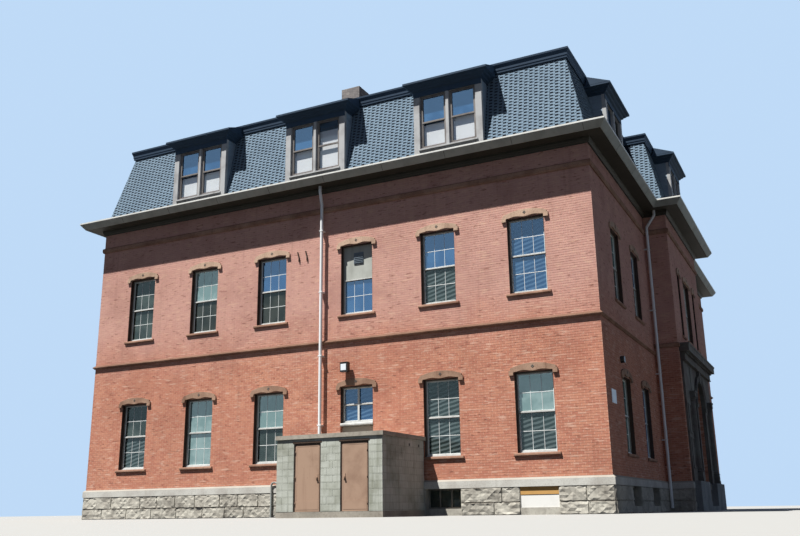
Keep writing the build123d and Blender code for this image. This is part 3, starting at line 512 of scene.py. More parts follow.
# A dark sheet under the tabs and cheek courses: the under-course with painted shade of the slots
dress("shingle_underlay_shade", "side_mansards", "rear_mansard", "front_mansard", "pavilion_mansard", "dormer_cheeks")
dress("cornice_black", "roof_cornice", "dormer_roofs")
dress("roofing", "roof_deck")
dress("casing_tan", "dormer_fronts")
dress("dormer_sash", "dormer_sashes", bevel=0.005)
dress("portal_stone", "portal_surround", "portal_columns", "portal_entablature", bevel=0.008)
dress("step_stone", "portal_plinths", "front_steps", bevel=0.012)
dress("door_dark", "entrance_frame", "entrance_doors", bevel=0.006)
dress("pipe_white", "downspouts")
dress("lamp_black", "wall_lights", bevel=0.008)
dress("pipe_grey", "vent_pipe")
dress("shed_block", "shed_side_walls", "shed_piers", "shed_lintel")
dress("shed_frame_paint", "shed_door_frames", bevel=0.004)
dress("shed_door_paint", "shed_door_left", "shed_door_right", bevel=0.004)

# Windows, as (wall, reach, centre, width, low, high)
windows = [(turn, reach, centre, WINDOW_WIDTH, low, high)
           for turn, reach, columns in WALLS for centre in columns
           for low, high in ((FIRST_SILL, FIRST_HEAD), (SECOND_SILL, SECOND_HEAD))]
pavilion = [(EAST, PAVILION_FRONT, centre, width, SECOND_SILL, PAVILION_HEAD)
            for centre, width in PAVILION_COLUMNS]
hooded = windows + pavilion
above_short = (SOUTH, HALF_Y, SHORT_PLACE, WINDOW_WIDTH, FIRST_SILL, FIRST_HEAD)
glazed = [w for w in windows if w != above_short]
glazed += [(SOUTH, HALF_Y, SHORT_PLACE, WINDOW_WIDTH, SHORT_SILL, FIRST_HEAD)] + pavilion
basement = [(turn, reach, centre, BASEMENT_WIDTH, BASEMENT_SILL, FOUNDATION_TOP)
            for turn, reach, columns in BASEMENT_WALLS for centre in columns]


# Brick courses
def gaps_in(start, end, low, high, holes):
    """What is left of start to end between the holes that reach into low to high."""
    runs, at = [], start
    for left, right, bottom, top in sorted(holes):
        if bottom < high and top > low and left < end:
            if left > at:
                runs.append((at, min(left, end)))
            at = max(at, right)
    if at < end:
        runs.append((at, end))
    return runs


def brick_courses(shape, turn, reach, start, end, holes, foot=WALL_FOOT, head=WALL_HEAD):
    """Raised courses with a sunk joint between them, stopped at the openings."""
    place, row = on_wall(turn, reach), math.floor(foot / COURSE)
    while row * COURSE < head:
        low = max(foot, row * COURSE + JOINT / 2)
        high = min(head, (row + 1) * COURSE - JOINT / 2)
        cuts = sorted({low, high} | {z for hole in holes for z in hole[2:] if low < z < high})
        for a, b in zip(cuts, cuts[1:]):
            if b - a > 0.004:
                for run in gaps_in(start, end, a, b, holes):
                    shape.box(run, (0.0, BRICK_OUT), (a, b), place)
        row += 1


def holes_in(turn, reach):
    return [(*span(c, w / 2), low, high) for t, r, c, w, low, high in hooded if (t, r) == (turn, reach)]


for turn, reach, half, name in ((SOUTH, HALF_Y, HALF_X, "south"), (NORTH, HALF_Y, HALF_X, "north"),
                                (WEST, HALF_X, HALF_Y, "west")):
    courses = Shape()
    brick_courses(courses, turn, reach, -half - BRICK_OUT, half + BRICK_OUT, holes_in(turn, reach))
    piece("brick_courses_" + name, courses, "brick")

courses = Shape()
for start, end in ((-HALF_Y, -PAVILION_HALF), (PAVILION_HALF, HALF_Y)):
    brick_courses(courses, EAST, HALF_X, start, end, holes_in(EAST, HALF_X))
for turn, start, end in ((SOUTH, HALF_X, PAVILION_FRONT), (NORTH, -PAVILION_FRONT, -HALF_X)):
    brick_courses(courses, turn, PAVILION_HALF, start, end, [])
doorway_hole = (-PORTAL_HALF, PORTAL_HALF, 0.0, PORTAL_HEAD)
brick_courses(courses, EAST, PAVILION_FRONT, *span(0.0, PAVILION_HALF + BRICK_OUT),
              holes_in(EAST, PAVILION_FRONT) + [doorway_hole])
piece("brick_courses_east", courses, "brick")

# Rough granite blocks
dice = random.Random(7)
BLOCK_GAP, BLOCK_RIM, HEWN = 0.006, 0.016, 0.012
GRANITE_COURSE, SHORTEST_BLOCK, LONGEST_BLOCK = 0.36, 0.75, 1.45


def hewn_lines(start, end, count):
    """Lines of points across a block: two close to each joint and the others evenly between."""
    inner = [start + (end - start) * i / count for i in range(1, count)]
    return [start + BLOCK_GAP, start + BLOCK_RIM + BLOCK_GAP, *inner,
            end - BLOCK_RIM - BLOCK_GAP, end - BLOCK_GAP]


def granite_block(shape, place, start, end, low, high):
    """One block with a hewn face that swells from its joints."""
    across = hewn_lines(start, end, max(4, round((end - start) / 0.10)))
    levels = hewn_lines(low, high, max(3, round((high - low) / 0.09)))
    swell, tilt = dice.uniform(0.016, 0.032), dice.uniform(-HEWN, HEWN)
    nx, nz, points, faces = len(across), len(levels), [], []
    for i, a in enumerate(across):
        for j, z in enumerate(levels):
            if i in (0, nx - 1) or j in (0, nz - 1):
                points.append((a, 0.0, z))
            else:
                out = swell + dice.uniform(-HEWN, HEWN) + tilt * (2 * j / nz - 1)
                shift = dice.uniform(-0.008, 0.008)
                points.append((a + shift, max(0.002, out), z + shift))
    for i in range(nx - 1):
        for j in range(nz - 1):
            a, b, c, d = i * nz + j, (i + 1) * nz + j, (i + 1) * nz + j + 1, i * nz + j + 1
            faces += [(a, b, c), (a, c, d)] if (i + j) % 2 else [(a, b, d), (b, c, d)]
    back = len(points)
    points += [(a, -0.01, z) for a, z in ((across[0], levels[0]), (across[-1], levels[0]),
                                          (across[-1], levels[-1]), (across[0], levels[-1]))]
    faces += [(back + 3, back + 2, back + 1, back),
              (back, back + 1, *(i * nz for i in range(nx - 1, -1, -1))),
              (back + 2, back + 3, *(i * nz + nz - 1 for i in range(nx))),
              (back + 3, back, *range(nz)),
              (back + 1, back + 2, *((nx - 1) * nz + j for j in range(nz - 1, -1, -1)))]
    shape.add(points, faces, place)


def granite_face(shape, turn, reach, start, end, holes):
    """Two courses of blocks of different lengths."""
    for low, high in ((0.0, GRANITE_COURSE), (GRANITE_COURSE, FOUNDATION_TOP)):
        for at, right in gaps_in(start, end, low, high, holes):
            while right - at > 0.01:
                length = dice.uniform(SHORTEST_BLOCK, LONGEST_BLOCK)
                stop = right if right - at - length < 0.5 else at + length
                granite_block(shape, on_wall(turn, reach), at, stop, low, high)
                at = stop


blocks, corner = Shape(), PAVILION_HALF + FOUNDATION_OUT
for turn, reach, columns in BASEMENT_WALLS:
    half = (HALF_X if turn in (SOUTH, NORTH) else HALF_Y) + FOUNDATION_OUT
    holes = [(*span(c, BASEMENT_WIDTH / 2), BASEMENT_SILL, FOUNDATION_TOP) for c in columns]
    for start, end in ((-half, -corner), (corner, half)) if turn == EAST else ((-half, half),):
        granite_face(blocks, turn, reach + FOUNDATION_OUT, start, end, holes)
for turn, reach, start, end in ((SOUTH, PAVILION_HALF, HALF_X + FOUNDATION_OUT, PAVILION_FRONT),
                                (NORTH, PAVILION_HALF, -PAVILION_FRONT, -HALF_X - FOUNDATION_OUT),
                                (EAST, PAVILION_FRONT, -corner, -PORTAL_HALF),
                                (EAST, PAVILION_FRONT, PORTAL_HALF, corner)):
    granite_face(blocks, turn, reach + FOUNDATION_OUT, start, end, [])
piece("granite_blocks", blocks, "granite")

# Sashes, glazing bars and blinds
SASH_DEPTH, UPRIGHT_BAR, LEVEL_BAR = 0.038, 0.014, 0.018


def window_sash(shape, place, centre, width, low, high, front, columns, rail, foot, bars):
    """One sash: stiles, rails and glazing bars. Its lowest rail is foot high."""
    back, (left, right) = front - SASH_DEPTH, span(centre, width / 2)
    inner, start, clear_height = (left + rail, right - rail), low + foot, high - rail - low - foot
    shape.box((left, left + rail), (back, front), (low, high), place)
    shape.box((right - rail, right), (back, front), (low, high), place)
    shape.box(inner, (back, front), (low, start), place)
    shape.box(inner, (back, front), (high - rail, high), place)
    for i in range(1, columns):
        at = left + rail + (right - left - 2 * rail) * i / columns
        shape.box(span(at, UPRIGHT_BAR / 2), (back, front - 0.010), (start, high - rail), place)
    for i in range(1, bars + 1):
        at = start + clear_height * i / (bars + 1)
        shape.box(inner, (back, front - 0.012), span(at, LEVEL_BAR / 2), place)


def blind(shape, place, centre, width, low, high, out, tilt, pitch):
    """Slatted blind; tilt 0 is level slats, 1 is closed."""
    reach, rise, (a, b) = 0.024 * (1 - 0.75 * tilt), 0.024 * tilt, span(centre, width / 2)
    at = high - pitch / 2
    while at > low:
        points = [(a, out - reach, at + rise), (b, out - reach, at + rise),
                  (b, out + reach, at - rise), (a, out + reach, at - rise)]
        shape.add(points + [(x, y, z + 0.002) for x, y, z in points], BOX_FACES, place)
        at -= pitch
    shape.box((a, b), span(out, 0.02), (high, high + 0.03), place)


def shade(shape, place, centre, width, low, high, out):
    """Roller shade with a hem along its foot."""
    shape.box(span(centre, width / 2), span(out, 0.002), (low, high), place)
    shape.box(span(centre, width / 2), span(out, 0.008), (low, low + 0.025), place)


# The south wall's windows, column by column, first floor then second, with their upper and lower sash. Each
# has its glass and what hangs behind it: a shade, nothing, or slats, by how far they are closed
SHADE, NOTHING = "shade", "nothing"
SOUTH_LOOKS = (
    (((DIM, 0.7), (STRIPED, 0.4)), ((PALE, 1.0), (PALE, 0.95)), ((PALE, 0.95), (DIM, 0.9)),
     ((BLUE_STRIPED, NOTHING), (BLUE_STRIPED, NOTHING)), ((STRIPED, 0.8), (STRIPED, 0.6)),
     ((PALE, 0.95), (STRIPED, 0.5))),
    (((DIM, 0.9), (DIM, NOTHING)), ((PALE, SHADE), (DARK, NOTHING)), ((SKY, 0.8), (DARK, NOTHING)),
     ((SKY, NOTHING), (SKY, 0.9)), ((SKY, NOTHING), (STRIPED, NOTHING)),
     ((BLUE_STRIPED, 0.9), (BLUE_STRIPED, 0.9))))
OTHER_LOOKS = (((SKY, 0.9), (DIM, 0.4)), ((PALE, 0.9), (DIM, NOTHING)), ((SKY, NOTHING), (SKY, 0.5)),
               ((PALE, SHADE), (PALE, 0.9)))
STILE, JAMB, STORM_STILE, STORM_FOOT, STORM_HEAD = 0.035, 0.014, 0.03, 0.03, 0.015
STORM_FACE = (-REVEAL - 0.002, -REVEAL + 0.018)
# How far above a window's middle its two sashes meet, and the pitch of the slats behind them
MEETING_RISE, FIRST_PITCH, SECOND_PITCH = 0.02, 0.075, 0.05
sashes, blinds, storms, jambs, panes = Shape(), Shape(), Shape(), Shape(), Shape()
for turn, reach, centre, width, low, high in glazed:
    place, middle, half = on_wall(turn, reach), (low + high) / 2, width / 2
    clear, front, upstairs = width - 2 * FRAME_FACE + 0.01, -REVEAL - 0.012, low > FIRST_HEAD
    is_short, boarded = low == SHORT_SILL, (turn, centre, low) == (SOUTH, SHORT_PLACE, SECOND_SILL)
    columns, bars = (1, 0) if is_short else (3, 1) if width > 1 else (2, 1)
    meeting = middle + MEETING_RISE
    if not boarded:
        window_sash(sashes, place, centre, clear, meeting, high - FRAME_FACE + 0.005, front, columns,
                    STILE, 0.02, bars)
    window_sash(sashes, place, centre, clear, low + FRAME_FACE - 0.015, meeting, front - 0.008, columns,
                STILE, 0.06, bars)
    # Lining of the opening, dark: painted shade of the reveal, and the storm window in front of the sashes: a
    # light frame round two panes
    edge, lining = half - JAMB, (-REVEAL + 0.001, -0.012)
    inner, storm_low, storm_high = span(centre, edge - STORM_STILE), low + STORM_FOOT, high - STORM_HEAD
    for sign in (-1, 1):
        storms.box((centre + sign * edge, centre + sign * (edge - STORM_STILE)), STORM_FACE,
                   (storm_low, storm_high), place, 1)
        jambs.box((centre + sign * half, centre + sign * edge), lining, (low + 0.001, high - 0.001), place)
    jambs.box(span(centre, edge), lining, (high - JAMB, high - 0.001), place)
    storms.box(inner, STORM_FACE, (high - 0.04, storm_high), place, 1)
    storms.box(inner, STORM_FACE, (storm_low, low + 0.075), place)
    storms.box(span(centre, edge), (-REVEAL - 0.002, -REVEAL + 0.05), (low, storm_low), place)
    if is_short:
        storms.box(span(centre, STILE), STORM_FACE, (low + 0.085, high - 0.04), place)
        for ends in ((inner[0], centre - STILE), (centre + STILE, inner[1])):
            storms.box(ends, STORM_FACE, span(middle, 0.012), place)
    else:
        storms.box(inner, STORM_FACE, span(middle, 0.018), place)
    look = SOUTH_LOOKS[upstairs][SIDE_COLUMNS.index(centre)] if turn == SOUTH else dice.choice(OTHER_LOOKS)
    hang = -REVEAL - FRAME_DEPTH - 0.09
    for (glass, hung), foot, top in ((look[0], middle, high - 0.03), (look[1], low + 0.03, middle)):
        if not boarded or foot < middle:
            back = front - (0.030 if foot < middle else 0.022)
            panes.box(span(centre, clear / 2 - 0.01), (back, back + 0.005), (foot, top), place, glass)
        area = (place, centre, width - 0.05, foot + 0.02, top - 0.03, hang)
        if hung == SHADE:
            shade(blinds, *area)
        elif hung != NOTHING:
            blind(blinds, *area, hung, SECOND_PITCH if upstairs else FIRST_PITCH)
piece("window_sashes", sashes, "sash_white", bevel=0.003)
piece("window_storms", storms, ("storm_white", "frame_grey"), bevel=0.002)
piece("window_jambs", jambs, "jamb_dark")
piece("window_blinds", blinds, "blind_pale")

# Basement windows: bars over dark glass, one of them boarded
basement_bars, basement_boards = Shape(), Shape()
for turn, reach, centre, width, low, high in basement:
    place = on_wall(turn, reach + FOUNDATION_OUT - BASEMENT_REVEAL)
    panes.box(span(centre, width / 2), (-0.072, -0.06), (low, high), place, DIM)
    if (turn, centre) == (SOUTH, SIDE_COLUMNS[-1]):
        for foot, top, out, paint in ((low, high - 0.23, 0.175, 0), (high - 0.225, high - 0.002, 0.185, 1)):
            basement_boards.box(span(centre, width / 2 - 0.002), (out - 0.02, out), (foot, top), place, paint)
    else:
        for i in (1, 2):
            at = centre - width / 2 + width * i / 3
            basement_bars.box(span(at, 0.018), (-0.05, -0.01), (low + 0.05, high - 0.05), place)
piece("basement_bars", basement_bars, "frame_grey", bevel=0.003)
piece("basement_boards", basement_boards, ("board_white", "board_ochre"), bevel=0.003)

# Sills with a rounded nose and a drip under it; the short window's is white
sills = Shape()
for turn, reach, centre, width, low, high in glazed:
    place, is_short = on_wall(turn, reach), low == SHORT_SILL
    nose, past = (0.03, -0.001) if is_short else (0.06, 0.105)
    nosing = [(0.0, low - 0.10), (nose - 0.022, low - 0.10), (nose - 0.018, low - 0.088),
              (nose - 0.006, low - 0.082), (nose, low - 0.068), (nose, low - 0.022),
              (nose - 0.008, low - 0.006), (0.0, low + 0.004)]
    tread = [(-REVEAL + 0.002, low - 0.02), (0.0, low - 0.02), (0.0, low + 0.004),
             (-REVEAL + 0.002, low + 0.012)]
    sills.rib(nosing, span(centre, width / 2 + past), place, int(is_short))
    sills.rib(tread, span(centre, width / 2 - 0.001), place, int(is_short))
piece("window_sills_worn", sills, ("brownstone", "storm_white"), bevel=0.003,
      replaces=("window_sills",))

# The short window's panel, and the vent in the boarded sash
panel, vent, south = Shape(), Shape(), on_wall(SOUTH, HALF_Y)
panel.box(span(SHORT_PLACE, WINDOW_WIDTH / 2), (-REVEAL, -REVEAL + 0.03), (FIRST_SILL, SHORT_SILL - 0.115),
          south)
piece("window_panel", panel, "panel_grey", bevel=0.004)
vent.box((SHORT_PLACE - 0.18, SHORT_PLACE + 0.19), (-REVEAL - 0.01, -REVEAL + 0.02), (8.31, 8.71), south)
for i in range(6):
    level = 8.34 + 0.06 * i
    vent.box((SHORT_PLACE - 0.165, SHORT_PLACE + 0.175), (-REVEAL, -REVEAL + 0.035), (level, level + 0.02),
             south)
piece("window_vent", vent, "vent_blue")

# Stone hoods
HOOD_OUT, EAR_OUT, FLOWER_OUT, PETAL = 0.05, 0.065, 0.06, 0.022
ARC_STEPS, SCALLOP_STEPS = 16, 24


def mirrored(points):
    return [(-a, z) for a, z in points]


def hood_outline(width):
    """Segmental top with a step at each end, ears, and a scalloped underside."""
    edge, crown, shoulder, step, ear = width / 2 + 0.155, 0.25, 0.115, 0.045, width / 2 + 0.005
    arc_half, scallop_half = edge - step, ear - 0.02
    radius = (arc_half ** 2 + (crown - shoulder) ** 2) / (2 * (crown - shoulder))
    across = [-arc_half + 2 * arc_half * i / ARC_STEPS for i in range(1, ARC_STEPS)]
    arc = [(a, crown - radius + math.sqrt(radius ** 2 - a * a)) for a in across]
    stepped = [(edge, shoulder - 0.06), (arc_half, shoulder - 0.06), (arc_half, shoulder)]
    eared = [(edge, -0.05), (edge - 0.02, -0.08), (edge - 0.06, -0.10), (ear, -0.10), (ear, -0.012)]
    scallops = [(scallop_half - 2 * scallop_half * i / SCALLOP_STEPS,
                 0.003 + 0.035 * (0.5 - 0.5 * math.cos(4 * math.pi * i / SCALLOP_STEPS)))
                for i in range(SCALLOP_STEPS + 1)]
    return mirrored(stepped) + arc + stepped[::-1] + eared + scallops + mirrored(eared)[::-1]


hoods = Shape()
for turn, reach, centre, width, low, high in hooded:
    place = on_wall(turn, reach)
    hoods.prism([(centre + a, high + z) for a, z in hood_outline(width)], (0.0, HOOD_OUT), place)
    for sign in (-1, 1):
        ear = span(centre + sign * (width / 2 + 0.08), 0.074)
        hoods.box(ear, (0.0, EAR_OUT), (high - 0.10, high - 0.03), place)
    # The flower's petals take the darker portal stone: painted shade of the carving
    for da, dz in ((0.03, 0), (-0.03, 0), (0, 0.03), (0, -0.03)):
        a, z = centre + da, high + 0.145 + dz
        petal = [(a - PETAL, z), (a, z - PETAL), (a + PETAL, z), (a, z + PETAL)]
        hoods.prism(petal, (HOOD_OUT, FLOWER_OUT), place, 1)
piece("window_hoods_carved", hoods, ("hood_stone", "portal_stone"), bevel=0.006,
      replaces=("window_hoods",))


# Bands, eaves and cornices led round the building
def whole_outline(out):
    x, y, f, h = HALF_X + out, HALF_Y + out, PAVILION_FRONT + out, PAVILION_HALF + out
    return [(-x, -y), (x, -y), (x, -h), (f, -h), (f, h), (x, h), (x, y), (-x, y)]


def belt_outline(out):
    x, y = HALF_X + out, HALF_Y + out
    return [(x, PAVILION_HALF), (x, y), (-x, y), (-x, -y), (x, -y), (x, -PAVILION_HALF)]


def return_outline(sign):
    """The pavilion's corner on one side of the entrance, from the main wall to the cornice."""
    def corners(out):
        h, f = PAVILION_HALF + out, PAVILION_FRONT + out
        return [(HALF_X, sign * h), (f, sign * h), (f, sign * CORNICE_HALF)][::sign]

    return corners


belt = Shape()
belt.band([(0.0, 5.60), (0.045, 5.60), (0.05, 5.625), (0.085, 5.645), (0.09, 5.67), (0.0, 5.745)],
          belt_outline)
belt.band([(0.0, 10.297), (0.05, 10.297), (0.055, 10.33), (0.07, 10.35), (0.07, 10.455), (0.045, 10.488),
           (0.0, 10.488)], whole_outline, True)
for sign in (-1, 1):
    belt.band([(0.0, 5.88), (0.05, 5.88), (0.06, 5.92), (0.06, 6.01), (0.04, 6.04), (0.0, 6.04)],
              return_outline(sign))
piece("stone_bands_moulded", belt, "brownstone", bevel=0.004, replaces=("stone_bands",))

eaves, lip = Shape(), Shape()
eaves.band([(0.0, 11.03), (0.05, 11.03), (0.055, 11.06), (0.08, 11.09), (0.085, 11.13), (0.10, 11.15),
            (0.10, WALL_HEAD), (0.0, WALL_HEAD)], whole_outline, True, 1)
eaves.band([(-0.4, WALL_HEAD), (0.55, WALL_HEAD), (0.55, EAVES_LEVEL), (-0.4, EAVES_LEVEL)],
           whole_outline, True, 1)
eaves.band([(0.551, 11.212), (0.568, 11.212), (0.722, 11.40), (0.73, 11.415), (0.73, EAVES_LEVEL),
            (0.551, EAVES_LEVEL)], whole_outline, True)
piece("eaves_moulded", eaves, ("eaves_grey", "soffit_brown"), replaces=("eaves",))
lip.band([(0.69, 11.431), (0.722, 11.405), (0.738, 11.42), (0.738, 11.462), (0.73, 11.47), (0.69, 11.47)],
         whole_outline, True)
lip.band([(0.692, 11.468), (0.731, 11.468), (0.731, 11.4735), (0.692, 11.4735)], whole_outline, True, 1)
piece("eaves_lip", lip, ("edge_cream", "frame_grey"))

# Joints between the eaves' boards; the pavilion breaks the run of the east side
EAVES_BOARD, FIRST_JOINT, BREAK_HALF = 2.294, 1.455, 4.4
joints = Shape()
for turn, reach, half in ((SOUTH, HALF_Y, HALF_X), (NORTH, HALF_Y, HALF_X), (WEST, HALF_X, HALF_Y),
                          (EAST, HALF_X, HALF_Y)):
    at = -half + FIRST_JOINT
    while at < half + 0.1:
        if turn != EAST or abs(at) > BREAK_HALF:
            joints.rib([(0.566, 11.214), (0.570, 11.211), (0.724, 11.399), (0.720, 11.402)], (at, at + 0.012),
                       on_wall(turn, reach))
        at += EAVES_BOARD
piece("eaves_joints", joints, "soffit_brown")

cornice = Shape()
cornice.band([(-0.741, MANSARD_TOP), (-0.66, 14.44), (-0.60, 14.44), (-0.595, 14.50), (-0.58, 14.53),
              (-0.575, 14.60), (-0.555, 14.66), (-0.53, 14.72), (-0.525, 14.783), (-0.741, 14.783)],
             whole_outline, True)
piece("roof_cornice_moulded", cornice, "cornice_black", replaces=("roof_cornice",))

# Roof shingles: tabs over a dark sheet, which shows through the slots between them; the sheet is the
# under-course, darkened with painted shade
PITCH, SLOT, SLOT_UP, BUTT = 0.175, 0.108, 0.058, 0.013
SHINGLE_ROWS = 25
EXPOSURE = SLOPE / SHINGLE_ROWS
HIP, VALLEY = 1, -1
panels = [
    ("south", SOUTH, HALF_Y, -HALF_X, HALF_X, HIP, HIP, SIDE_DORMERS),
    ("north", NORTH, HALF_Y, -HALF_X, HALF_X, HIP, HIP, SIDE_DORMERS),
    ("west", WEST, HALF_X, -HALF_Y, HALF_Y, HIP, HIP, END_DORMERS),
    ("east", EAST, HALF_X, -HALF_Y, -PAVILION_HALF, HIP, VALLEY, END_DORMERS[:1]),
    ("east", EAST, HALF_X, PAVILION_HALF, HALF_Y, VALLEY, HIP, END_DORMERS[2:]),
    ("east", EAST, PAVILION_FRONT, -PAVILION_HALF, PAVILION_HALF, HIP, HIP, (0.0,)),
    ("east", SOUTH, PAVILION_HALF, HALF_X, PAVILION_FRONT, VALLEY, HIP, ()),
    ("east", NORTH, PAVILION_HALF, -PAVILION_FRONT, -HALF_X, HIP, VALLEY, ()),
]


def tab(shape, place, left, right, low, high, start, end, first, last):
    """One tab between its sides, cut off along the panel's slanted ends."""
    low, high = max(0.0, low), min(SLOPE, high)
    l0, l1 = (max(left, start + first * SLOPE_IN * z) for z in (low, high))
    r0, r1 = (min(right, end - last * SLOPE_IN * z) for z in (low, high))
    if high - low >= 0.01 and r0 - l0 >= 0.004 and r1 - l1 >= 0.004:
        shape.add([(l0, 0, low), (r0, 0, low), (r1, 0, high), (l1, 0, high), (l0, BUTT, low), (r0, BUTT, low),
                   (r1, BUTT * 0.35, high), (l1, BUTT * 0.35, high)], BOX_FACES, place)


shingles = {}
for name, turn, reach, start, end, first, last, centres in panels:
    shape = shingles.setdefault(name, Shape())
    place = on_slope(turn, reach)
    holes = [(*span(c, DORMER_WIDTH / 2), 0.0, 1.0) for c in centres]
    for column in range(math.floor(start / PITCH) - 1, math.ceil(end / PITCH) + 2):
        middle, shift = column * PITCH, (column % 2) * EXPOSURE / 2
        for row in range(-1, SHINGLE_ROWS + 1):
            low, high = row * EXPOSURE + shift, (row + 1) * EXPOSURE + shift
            side, drop = dice.uniform(-0.008, 0.008), dice.uniform(-0.006, 0.006)
            short_start, short_end = middle - SLOT / 2 + side, middle + SLOT / 2 + side
            for left, right in gaps_in(short_start, short_end, 0, 1, holes):
                tab(shape, place, left, right, low + SLOT_UP + drop, high, start, end, first, last)
            for left, right in gaps_in(short_end, middle + PITCH - SLOT / 2 + side, 0, 1, holes):
                tab(shape, place, left, right, low + EXPOSURE / 4, high + EXPOSURE / 4, start, end, first,
                    last)
for name, shape in shingles.items():
    piece("shingles_" + name, shape, "shingle")

# Dormers
dormers = [(turn, HALF_Y, c) for turn in (SOUTH, NORTH) for c in SIDE_DORMERS]
dormers += [(WEST, HALF_X, c) for c in END_DORMERS] + [(EAST, HALF_X, c) for c in END_DORMERS[::2]]
dormers += [(EAST, PAVILION_FRONT, 0.0)]
DORMER_LIP, DORMER_BACK, CHEEK_ROW, DORMER_STILE = 0.30, -0.62, 0.125, 0.05
# Sections of a dormer's top, as (out, level): flared cornice, roof, and the core between them
DORMER_CORNICE = [(-0.2, DORMER_HEAD), (0.02, DORMER_HEAD), (0.03, 14.10), (0.09, 14.135), (0.10, 14.16),
                  (0.115, 14.185), (0.185, 14.225), (0.20, 14.25), (0.215, 14.27), (0.285, 14.30),
                  (DORMER_LIP, 14.315), (DORMER_LIP, 14.38), (-0.2, 14.38)]
DORMER_ROOF = [(DORMER_LIP, 14.372), (DORMER_LIP, 14.38), (-0.541, 14.72), (-0.541, MANSARD_TOP),
               (-0.64, 14.372)]
DORMER_CORE = [(0.0, DORMER_HEAD), (0.0, 14.40), (-0.90, 14.40), (-0.90, DORMER_HEAD)]
# Glass of the upper sash and how far past the middle the shade reaches, for the left and the right light
DORMER_LOOKS = {(SOUTH, -5.24): ((SKY, -0.08), (SKY, -0.05)), (SOUTH, 0.0): ((SKY, -0.02), (CLEAR, 0.6)),
                (SOUTH, 5.24): ((SKY, -0.06), (SKY, 0.0)), (EAST, -7.5): ((SKY, 0.0), (DIM, 0.0))}


def dormer_outline(place, centre, half):
    """The three open sides of a dormer."""
    def corners(out):
        return [place((a, d, 0.0))[:2] for a, d in (
            (centre - half - out, DORMER_BACK), (centre - half - out, out), (centre + half + out, out),
            (centre + half + out, DORMER_BACK))]

    return corners


dormer_tops, casings, dormer_lights, dormer_blinds, cheeks = Shape(), Shape(), Shape(), Shape(), Shape()
for turn, reach, centre in dormers:
    place, half = on_wall(turn, reach), DORMER_WIDTH / 2
    dormer_tops.band(DORMER_CORNICE, dormer_outline(place, centre, half))
    dormer_tops.rib(DORMER_ROOF, span(centre, half + DORMER_LIP), place)
    dormer_tops.rib(DORMER_CORE, span(centre, half), place)
    # Casing: corner boards with a return, head boards, mullion, sill. The head boards and the corner boards'
    # tops take the cornice's black: painted shadow of the cornice
    edge, low = DORMER_LIGHT_PLACE + DORMER_LIGHT_WIDTH / 2, DORMER_SILL
    high = low + DORMER_LIGHT_HEIGHT
    for sign in (-1, 1):
        board = (centre + sign * (half + 0.012), centre + sign * (edge + 0.02))
        casings.box(board, (-0.005, 0.03), (EAVES_LEVEL, high - 0.03), place)
        casings.box(board, (-0.005, 0.035), (high - 0.03, DORMER_HEAD), place, 1)
        casings.box((centre + sign * half, centre + sign * (half + 0.014)), (-0.11, 0.005),
                    (EAVES_LEVEL, DORMER_HEAD), place)
    casings.box(span(centre, edge + 0.02), (-0.005, 0.03), (high - 0.01, DORMER_HEAD), place, 1)
    casings.box(span(centre, 0.05), (-0.005, 0.03), (low, high - 0.01), place)
    casings.box(span(centre, edge + 0.06), (-0.04, 0.065), (low - 0.055, low), place)
    looks = DORMER_LOOKS.get((turn, centre), ((SKY, 0.0), (SKY, 0.0)))
    w, middle, front = DORMER_LIGHT_WIDTH - 0.06, (low + high) / 2, -DORMER_RECESS - 0.004
    for light, (glass, drawn) in zip(span(centre, DORMER_LIGHT_PLACE), looks):
        window_sash(dormer_lights, place, light, w, middle - 0.02, high - 0.03, front, 1, DORMER_STILE,
                    0.045, 0)
        window_sash(dormer_lights, place, light, w, low + 0.03, middle + 0.02, front - 0.008, 1, DORMER_STILE,
                    0.08, 0)
        for foot, top, kind in ((middle, high - 0.02, glass), (low + 0.02, middle, CLEAR)):
            panes.box(span(light, w / 2), (front - 0.05, front - 0.044), (foot, top), place, kind)
        shade(dormer_blinds, place, light, w, low + 0.03, middle + drawn, front - 0.11)
    # Cheeks: courses of shingle on both sides, back to the slope, in a paler copy of the shingle: painted
    # light that lifts the cheeks' shade
    for sign in (-1, 1):
        face = centre + sign * half
        for row in range(math.ceil((DORMER_HEAD - EAVES_LEVEL) / CHEEK_ROW)):
            z0, z1 = EAVES_LEVEL + row * CHEEK_ROW, min(DORMER_HEAD, EAVES_LEVEL + (row + 1) * CHEEK_ROW)
            back0, back1 = (-SETBACK * (z - EAVES_LEVEL) / (MANSARD_TOP - EAVES_LEVEL) - 0.02
                            for z in (z0, z1))
            if back1 < -0.13:
                ends = [(-0.11, z0), (min(back0, -0.115), z0), (back1, z1), (-0.11, z1)]
                points = [(face, out, z) for out, z in ends]
                points += [(face + sign * (0.012 if z == z0 else 0.001), out, z) for out, z in ends]
                cheeks.add(points, BOX_FACES, place)
piece("dormer_cornices", dormer_tops, "cornice_black", replaces=("dormer_roofs",))
piece("dormer_casings", casings, ("casing_tan", "cornice_black"), bevel=0.004)
piece("dormer_lights", dormer_lights, "dormer_sash", bevel=0.003)
piece("dormer_blinds", dormer_blinds, "blind_pale")
piece("dormer_shingles", cheeks, "cheek_grey")

# Entrance
entrance, columns, doors, place = Shape(), Shape(), Shape(), on_wall(EAST, PAVILION_FRONT)


def arch_points(radius, count=24):
    """Points round a half circle, from right to left over the arch's springing."""
    angles = [math.pi * i / count for i in range(count + 1)]
    return [(radius * math.cos(angle), SPRING_LEVEL + radius * math.sin(angle)) for angle in angles]


